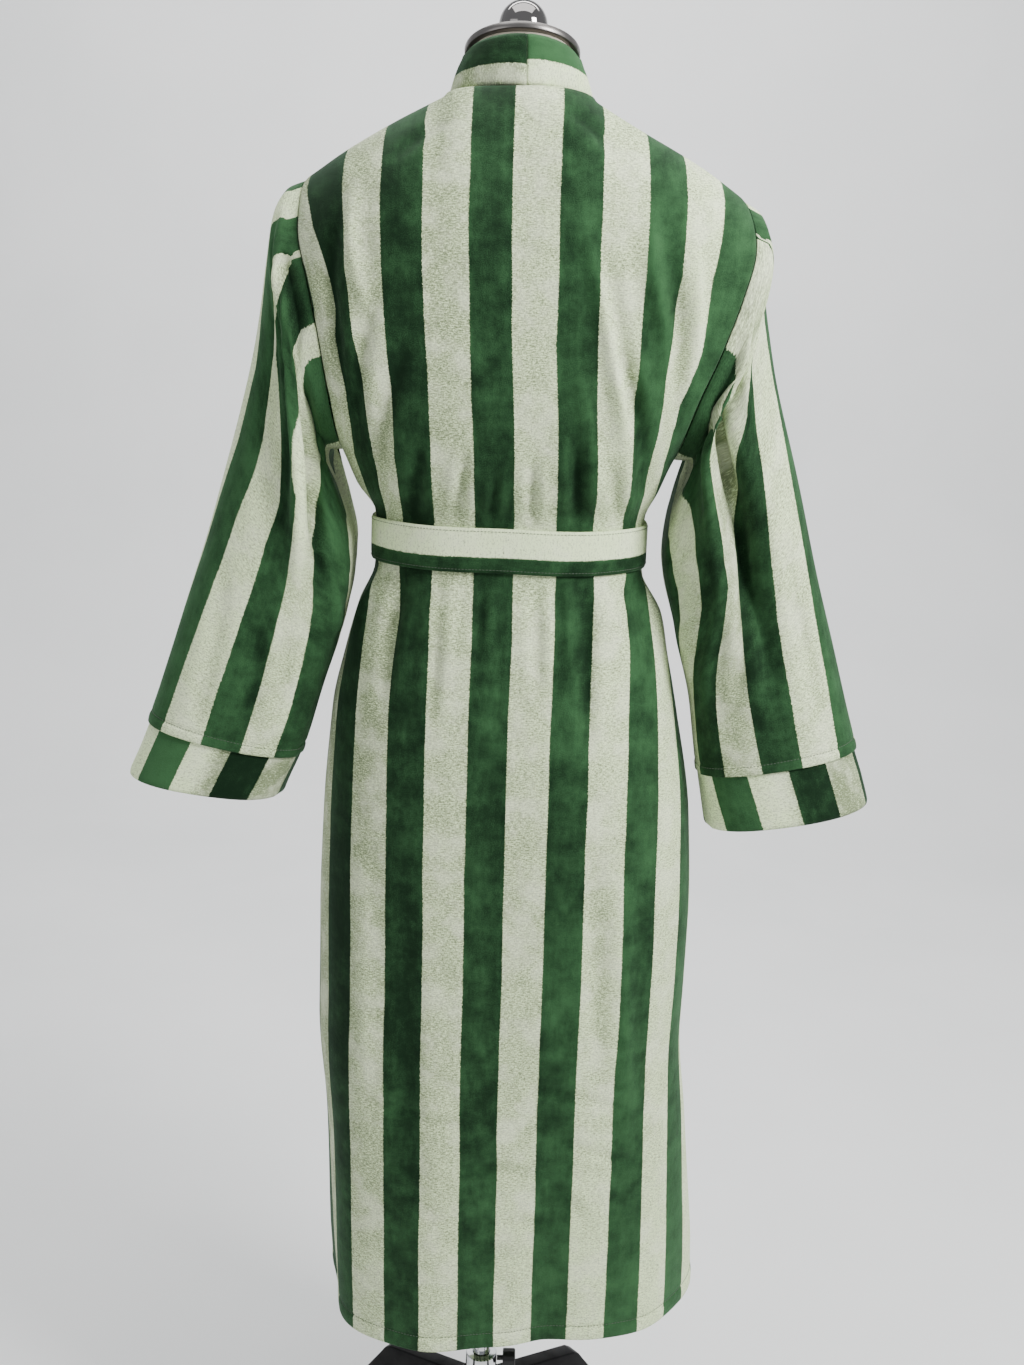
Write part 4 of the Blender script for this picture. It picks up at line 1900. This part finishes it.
@dataclass
class Belt:
    """Belt round the waist, its knot in front and its two ends.

    Attributes:
        tailor: What it is made with.
        middle: Height of its middle line.
    """

    tailor: Tailor
    middle: float = (BELT_LOW + BELT_HIGH) / 2

    def _band(self) -> None:
        """Makes the band round the waist with its two rows of stitches."""
        degrees = np.linspace(0, 360, 361)[:-1]
        ring = SHAPE.ring_point(degrees, self.middle)
        way = np.stack([np.cos(np.radians(degrees)), np.sin(np.radians(degrees)), 0 * degrees], -1)
        ring = ring + way * (BELT_EASE + BAND_CLOTH)
        z = np.linspace(BELT_HIGH, BELT_LOW, 23)
        points = np.repeat(ring[None], len(z), 0)
        points[..., 2] = z[:, None]
        grid = Grid(points, -1.0, True)
        down, around = grid.steps(0), grid.round_length()
        place = np.concatenate([down, down[:, :1]], 1) + BELT_TOP_STRIPE
        grid.cloth = np.stack([place, around], -1)
        edge = np.minimum(down, down[-1:] - down)
        waves = ripple(around[:, :-1], down, 0.45, 130.0, 51)
        grid.push(waves - 0.5 * bell(edge - BELT_STITCH, 1.2) - 1.1 * bell(edge, 1.4))
        drop = 0.9 * np.sin(np.radians(degrees) * 2 + 0.7) + 0.6 * np.sin(np.radians(degrees) * 5)
        grid.points[..., 2] += drop[None, :]
        nap = lerp(1.0, 0.4, smooth(down, 26, 31))
        belt = self.tailor.cloth("robe_belt", "belt_band", grid, nap, BAND_CLOTH)
        high, low = (
            self.tailor.sew(name, [lifted_row(grid, row_at(grid, BELT_STITCH, end))], False, seed)
            for name, end, seed in (("belt_stitches_high", False, 12), ("belt_stitches_low", True, 13))
        )

    def _knot(self) -> None:
        """Makes the knot, a squared ball with wrap grooves in front and a flat back."""
        back = float(SHAPE.ring_point(270.0, self.middle)[1]) - BELT_EASE - BAND_CLOTH - SEAM_GAP
        lift = np.linspace(-0.48, 0.48, 41)[:, None] * math.pi
        angle = np.linspace(0, 2 * math.pi, 97)[:-1][None, :]
        power = 2 / KNOT_SQUARE
        wide = np.cos(lift) ** power
        tall = np.sign(lift) * np.abs(np.sin(lift)) ** power
        radius = squared_radius(angle, KNOT_HALF, KNOT_DEEP, KNOT_SQUARE) * wide
        x, y = radius * np.cos(angle), radius * np.sin(angle)
        z = np.broadcast_to(KNOT_HALF * tall, x.shape)
        front = smooth(-y, -2, 8)
        wraps = np.abs(((x * 0.8 + z * 0.5) / 17.0 + 0.5) % 1 - 0.5)
        x, y = x - 0.4 * z * front * 0.3, y + front * (2.2 - 7.0 * wraps) * 0.55
        deep = np.minimum(back - KNOT_DEEP + y, back)
        points = np.stack([KNOT_PLACE + x, deep, self.middle + z], -1)
        mesh = capped_mesh("robe_belt_knot", points, self.tailor.finishes.velvet)
        corners = np.empty(3 * len(mesh.vertices))
        mesh.vertices.foreach_get("co", corners)
        across, _, up = corners.reshape(-1, 3).T / MM
        layer = mesh.uv_layers.new(name="cloth")
        lean = np.stack([across * 0.5 - up * 0.86 + self.middle + 35, across], -1)
        ids = np.zeros(len(mesh.loops), int)
        mesh.loops.foreach_get("vertex_index", ids)
        layer.data.foreach_set("uv", (lean[ids] * MM).astype(np.float32).ravel())
        lie = mesh.attributes.new("nap", "FLOAT", "POINT")
        lie.data.foreach_set("value", np.full(len(across), 0.5, np.float32))
        mesh.update()
        dress(place_object("robe_belt_knot", mesh), Body.MAST, "robe_velvet", "belt_knot")

    def _tail(self, node: str, x: float, swing: float, length: float) -> None:
        """Makes a belt end.

        Args:
            node: CAD node that it stands for.
            x: Place across where it leaves the knot.
            swing: How far it drifts sideways.
            length: Length in millimetres.
        """
        t = np.linspace(0, 1, 101)[:, None]
        down = length * t**1.2
        half = lerp(22.0, BELT_HIGH - BELT_LOW, smooth(down, 0, 60)) / 2
        centre = x + swing * (down / length) ** 0.8
        across = np.linspace(-1, 1, 15)[None, :]
        z = np.broadcast_to(BELT_LOW - SEAM_GAP - down, (down.size, across.size))
        points = SHAPE.front_point(centre + across * half, z, False)
        points[..., 1] -= BAND_CLOTH + 1.6
        grid = Grid(points, -1.0)
        side, along = grid.steps(1), grid.steps(0)
        place = side * TAIL_WIDTH / np.maximum(side[:, -1:], 1) + BELT_TOP_STRIPE
        grid.cloth = np.stack([place, -along], -1)
        edge = np.minimum(side, side[:, -1:] - side)
        waves = ripple(side, along, 0.6, 120.0, int(length))
        pinch = 1 - smooth(along, 0, 50)
        folds = 1.6 * np.cos(2.4 * math.pi * across) * pinch
        pressed = 0.8 * bell(edge, 1.2)
        grid.push(np.maximum(waves, -0.6) - pressed - 0.4 * bell(edge - BELT_STITCH, 1.1) + folds)
        tail = self.tailor.cloth("robe_" + node, node, grid, 0.55, BAND_CLOTH)
        lifted = grid.points + grid.normals() * THREAD_LIFT
        rows = [lifted[6:-3, 1], lifted[6:-3, -2], lifted[-3, 1:-1]]
        sewn = self.tailor.sew(node + "_stitches", rows, seed=14)

    def build(self) -> None:
        """Makes the band, the knot and the ends."""
        self._band()
        self._knot()
        self._tail("belt_tail_long", 3, -34, 372)
        self._tail("belt_tail_short", 33, 42, 318)


def turned(
    name: str, material: bpy.types.Material, profile: list[tuple[float, float]], segments: int = 72
) -> bpy.types.Object:
    """Solid of revolution about +Z.

    Args:
        name: Name of the object.
        material: Its material.
        profile: Radius and height of each corner in millimetres, from the axis or round a bore.
        segments: Cells round it.

    Returns:
        The object.
    """
    mesh = bpy.data.meshes.new(name)
    work = bmesh.new()
    rings = []
    for radius, height in profile:
        if radius == 0:
            rings.append([work.verts.new((0, 0, height * MM))])
            continue
        turns = [2 * math.pi * i / segments for i in range(segments)]
        ring = [(radius * MM * math.cos(a), radius * MM * math.sin(a), height * MM) for a in turns]
        rings.append([work.verts.new(corner) for corner in ring])
    pairs = list(zip(rings, rings[1:]))
    if profile[0][0] and profile[-1][0]:
        pairs.append((rings[-1], rings[0]))
    for low, high in pairs:
        for i in range(segments):
            j = (i + 1) % segments
            ring = [low[i % len(low)], low[j % len(low)], high[j % len(high)], high[i % len(high)]]
            work.faces.new(list(dict.fromkeys(ring)))
    bmesh.ops.recalc_face_normals(work, faces=work.faces)
    work.to_mesh(mesh)
    work.free()
    mesh.polygons.foreach_set("use_smooth", np.ones(len(mesh.polygons), bool))
    mesh.set_sharp_from_angle(angle=math.radians(32))
    mesh.materials.append(material)
    return place_object(name, mesh)


@dataclass
class DressForm:
    """Limbless form with its cap and ball.

    Attributes:
        finishes: The materials.
        cap_rise: Height of the cap's underside over the floor.
        cap_tilt: How far the cap leans to the front, in degrees.
        ball_base: Where the ball stands over the cap's underside.
        ball_radius: Radius of the ball.
        ball_foot: Radius of its flat foot.
    """

    finishes: Finishes
    cap_rise: float = 1671.35
    cap_tilt: float = 16.2
    ball_base: float = 7.35
    ball_radius: float = 24.0
    ball_foot: float = 8.0

    def _torso(self) -> None:
        """Makes the covered body with its seams."""
        step = np.linspace(0, 19, 191)[:, None]
        angle = (np.linspace(0, 2 * math.pi, 129)[:-1])[None, :]
        deep = np.where(np.sin(angle) >= 0, FORM_RINGS.read("back", step), FORM_RINGS.read("front", step))
        radius = squared_radius(angle, FORM_RINGS.read("side", step), deep, FORM_SQUARE)
        y = radius * np.sin(angle)
        z = FORM_RINGS.read("z", step) + y * FORM_RINGS.read("slope", step)
        points = np.stack([radius * np.cos(angle), y, z], -1)
        grid = Grid(points, 1.0, True)
        seams = np.zeros(points.shape[:2])
        for degrees in (0, 55, 90, 125, 180, 235, 270, 305):
            gap = (np.degrees(angle) - degrees + 540) % 360 - 180
            seams = np.maximum(seams, bell(np.radians(gap) * radius, 1.8))
        grid.push(-0.7 * seams)
        mesh = capped_mesh("form_body", grid.points, self.finishes.linen)
        mesh.set_sharp_from_angle(angle=math.radians(50))
        dress(place_object("form_body", mesh), Body.MAST, "form_linen", "form_torso")

    def build(self) -> None:
        """Makes the torso, the cap, the ball and the flange."""
        self._torso()
        lean = Matrix.Rotation(math.radians(self.cap_tilt), 4, "X")
        tilt = Matrix.Translation((0, 0, self.cap_rise * MM)) @ lean
        cap = turned(
            "form_cap", self.finishes.cap,
            [(0, 0), (54.9, 0), (56, 0.5), (56.5, 1.5), (56.5, 5.6), (56.1, 6.5), (55.2, 7), (0, 7)], 128,
        )
        cap.data.transform(tilt)
        dress(cap, Body.MAST, "cap_metal", "neck_cap")
        base, radius = self.ball_base, self.ball_radius
        centre = base + 0.6 + radius
        start = math.asin(self.ball_foot / radius)
        profile = [(0.0, base), (self.ball_foot, base)]
        for i in range(37):
            angle = lerp(start, math.pi, i / 37)
            profile.append((radius * math.sin(angle), centre - radius * math.cos(angle)))
        profile.append((0.0, centre + radius))
        ball = turned("form_ball", self.finishes.ball, profile, 96)
        ball.data.transform(tilt)
        dress(ball, Body.MAST, "chrome", "ball_finial")
        flange = turned(
            "form_plate", self.finishes.paint,
            [(0, 873.65), (45, 873.65), (46, 874.65), (46, 878.65), (45, 879.65), (0, 879.65)],
        )
        dress(flange, Body.MAST, "black_metal", "form_flange")


@dataclass
class Stand:
    """Pole stand with four bent legs.

    Attributes:
        finishes: The materials.
        leg_half: Half of a leg's thickness.
        leg_round: Rounding of its edges.
        foot_reach: Distance of a foot from the pole.
        knob_reach: Distance of the knob's inner face from the pole.
        knob_height: Height of the knob.
        grips: Grooves round the knob.
        grip_depth: Share of the radius that a groove takes.
    """

    finishes: Finishes
    leg_half: float = 10.0
    leg_round: float = 1.8
    foot_reach: float = 238.0
    knob_reach: float = 18.85
    knob_height: float = 213.0
    grips: int = 12
    grip_depth: float = 0.045

    def _leg(self, name: str, azimuth: float) -> None:
        """Makes a leg and its foot.

        Args:
            name: CAD node of the leg.
            azimuth: Its direction in degrees from the wearer's left.
        """
        outline = [(27.35, 182), (142, 152), (151, 149.5), (160, 143), (169, 130), (248, 22)]
        outline += [(248, 8.35), (226, 8.35), (146, 112), (138, 120), (126, 124), (27.35, 130)]
        work = bmesh.new()
        side = [work.verts.new((r * MM, -self.leg_half * MM, z * MM)) for r, z in outline]
        face = work.faces.new(side)
        grown = bmesh.ops.extrude_face_region(work, geom=[face])
        moved = [v for v in grown["geom"] if isinstance(v, bmesh.types.BMVert)]
        bmesh.ops.translate(work, verts=moved, vec=(0, 2 * self.leg_half * MM, 0))
        bmesh.ops.recalc_face_normals(work, faces=work.faces)
        bmesh.ops.bevel(
            work, geom=list(work.edges), offset=self.leg_round * MM, segments=3, affect="EDGES",
            profile=0.5, clamp_overlap=True,
        )
        mesh = bpy.data.meshes.new("stand_" + name)
        work.to_mesh(mesh)
        work.free()
        mesh.transform(Matrix.Rotation(math.radians(azimuth), 4, "Z"))
        mesh.polygons.foreach_set("use_smooth", np.ones(len(mesh.polygons), bool))
        mesh.set_sharp_from_angle(angle=math.radians(40))
        mesh.materials.append(self.finishes.paint)
        dress(place_object("stand_" + name, mesh), Body.BASE, "black_metal", name)
        foot = turned(
            "stand_" + name.replace("leg", "foot"), self.finishes.rubber,
            [(0, 0), (12.6, 0), (14, 1.4), (14, 6.4), (12.8, 8), (0, 8)], 48,
        )
        turn, reach = math.radians(azimuth), self.foot_reach * MM
        foot.data.transform(Matrix.Translation((reach * math.cos(turn), reach * math.sin(turn), 0)))
        dress(foot, Body.BASE, "foot_rubber", name.replace("leg", "foot"))

    def build(self) -> None:
        """Makes the pole, tube, collar, hub, knob, legs and feet."""
        f = self.finishes
        pole = turned("stand_pole", f.chrome, [(0, 34), (8.7, 34), (9.5, 34.8), (9.5, 873.3), (0, 873.3)])
        dress(pole, Body.MAST, "chrome", "inner_pole")
        tube = [(10.1, 24), (16, 24), (16.5, 24.5), (16.5, 203.65), (10.1, 203.65)]
        dress(turned("stand_tube", f.chrome, tube), Body.BASE, "chrome", "outer_tube")
        collar = [(10.1, 204), (17.8, 204), (18.5, 204.7), (18.5, 220.8), (17.5, 221.8), (11, 222)]
        collar.append((10.1, 221.4))
        dress(turned("stand_collar", f.chrome, collar), Body.BASE, "chrome", "tube_collar")
        hub = [(16.85, 118), (25.5, 118), (27, 119.5), (27, 188.5), (25.5, 190), (16.85, 190)]
        dress(turned("stand_hub", f.paint, hub), Body.BASE, "black_metal", "leg_hub")
        rim = [(0, 0), (3, 0), (3, 7), (9.6, 7), (10.7, 7.7), (11, 8.8), (11, 20.2), (10.5, 21.4)]
        rim += [(9.2, 22), (0, 22)]
        knob = turned("stand_knob", f.plastic, rim, 60)
        for v in knob.data.vertices:
            r = math.hypot(v.co.x, v.co.y)
            if r > 9 * MM and 8 * MM < v.co.z < 21 * MM:
                wave = 0.5 + 0.5 * math.cos(self.grips * math.atan2(v.co.y, v.co.x))
                cut = 1 - self.grip_depth * wave
                v.co.x, v.co.y = v.co.x * cut, v.co.y * cut
        place = Matrix.Translation((-self.knob_reach * MM, 0, self.knob_height * MM))
        knob.data.transform(place @ Matrix.Rotation(-math.pi / 2, 4, "Y"))
        dress(knob, Body.KNOB, "black_plastic", "height_knob")
        legs = {"front_left": -42, "back_left": 42, "back_right": 138, "front_right": 222}
        for name, azimuth in legs.items():
            self._leg("leg_" + name, azimuth)


@dataclass
class Studio:
    """Floor, backdrop, lights and camera.

    Attributes:
        depth: How far behind the stand the backdrop rises, in metres.
        bend: Radius of its bend.
        half_width: Half of its width.
        height: Height of its top.
        near: Where the floor ends before the stand.
        sky: Strength of the room's own light.
        camera_at: Place of the camera.
        camera_tilt: How far it looks down, in degrees.
        camera_roll: How far it is turned about its own axis, in degrees.
        lens: Focal length in millimetres.
    """

    depth: float = 3.5
    bend: float = 1.1
    half_width: float = 5.0
    height: float = 4.4
    near: float = 4.0
    sky: float = 0.46
    camera_at: tuple[float, float, float] = (-0.0102, 1.465, 1.380)
    camera_tilt: float = 12.8
    camera_roll: float = 1.9
    lens: float = 36.92

    def _paper(self) -> None:
        """Makes the floor and the backdrop as one bent sheet of plain paper."""
        s = ShaderTree("backdrop")
        place = s.node("ShaderNodeTexCoord").outputs["Object"]
        tone = s.noise(place, 2.0, 3.0)
        colour = s.mix(tone.ramp(0.3, 0.7), (0.84, 0.85, 0.845), (0.88, 0.885, 0.88))
        normal = s.bump(s.noise(place, 180.0, 3.0), 0.0006, 0.4)
        paper = s.finish(s.principled(Base_Color=colour, Roughness=0.85, Normal=normal))
        bend, deep = self.bend, -self.depth
        profile = [(self.near, 0.0), (deep + bend, 0.0)]
        for i in range(1, 13):
            a = math.pi / 2 * i / 12
            profile.append((deep + bend - bend * math.sin(a), bend - bend * math.cos(a)))
        profile.append((deep, self.height))
        corners = [(x, y, z) for y, z in profile for x in (-self.half_width, self.half_width)]
        faces = [(2 * i, 2 * i + 1, 2 * i + 3, 2 * i + 2) for i in range(len(profile) - 1)]
        mesh = bpy.data.meshes.new("backdrop")
        mesh.from_pydata(corners, [], faces)
        mesh.polygons.foreach_set("use_smooth", np.ones(len(faces), bool))
        mesh.materials.append(paper)
        place_object("backdrop", mesh)

    def _light(self, name: str, at: tuple, aim: tuple, size: tuple, power: float) -> None:
        """Adds a soft light that the camera doesn't see.

        Args:
            name: Name of the light.
            at: Its place.
            aim: Point that it faces.
            size: Width and height of its panel.
            power: Power in watts.
        """
        data = bpy.data.lights.new(name, "AREA")
        data.shape, data.size, data.size_y, data.energy = "RECTANGLE", *size, power
        lamp = bpy.data.objects.new(name, data)
        bpy.context.scene.collection.objects.link(lamp)
        way = Vector(at) - Vector(aim)
        lamp.rotation_euler = way.to_track_quat("Z", "Y").to_euler()
        lamp.location = at
        lamp.visible_camera = False

    def _camera(self) -> None:
        """Sets the camera at the photo's own angle."""
        data = bpy.data.cameras.new("camera")
        data.sensor_fit, data.sensor_width, data.lens = "AUTO", 36.0, self.lens
        camera = bpy.data.objects.new("camera", data)
        bpy.context.scene.collection.objects.link(camera)
        turn = (
            Matrix.Rotation(math.pi, 4, "Z")
            @ Matrix.Rotation(math.radians(90 - self.camera_tilt), 4, "X")
            @ Matrix.Rotation(math.radians(self.camera_roll), 4, "Z")
        )
        camera.matrix_world = Matrix.Translation(self.camera_at) @ turn
        bpy.context.scene.camera = camera

    def build(self) -> None:
        """Makes the stage."""
        self._paper()
        self._light("key", (-1.5, 1.15, 2.25), (0, 0, 1.1), (0.7, 0.7), 76)
        self._light("fill", (1.9, 1.8, 1.5), (0, 0, 0.9), (1.6, 2.0), 12)
        self._light("top", (0, 0.3, 3.1), (0, 0, 1.0), (2.0, 1.2), 26)
        self._light("backdrop", (0, -0.9, 3.6), (0, -3.5, 1.4), (3.0, 1.0), 110)
        world = bpy.data.worlds.new("room")
        world.use_nodes = True
        sky = world.node_tree.nodes["Background"]
        sky.inputs[0].default_value = (0.93, 0.95, 1.0, 1.0)
        sky.inputs[1].default_value = self.sky
        bpy.context.scene.world = world
        self._camera()


def main() -> None:
    """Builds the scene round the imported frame."""
    logging.basicConfig(level=logging.INFO, format="%(message)s")
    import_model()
    finishes = Finishes.make()
    tailor = Tailor(finishes, StitchTree())
    Studio().build()
    back = BackPanel(tailor).build()
    for side in Side:
        front = FrontPanel(tailor, side).build()
        Sleeve(tailor, side, back, front).build()
        Neckband(tailor, side).build()
    Belt(tailor).build()
    DressForm(finishes).build()
    Stand(finishes).build()


if __name__ == "__main__":
    main()
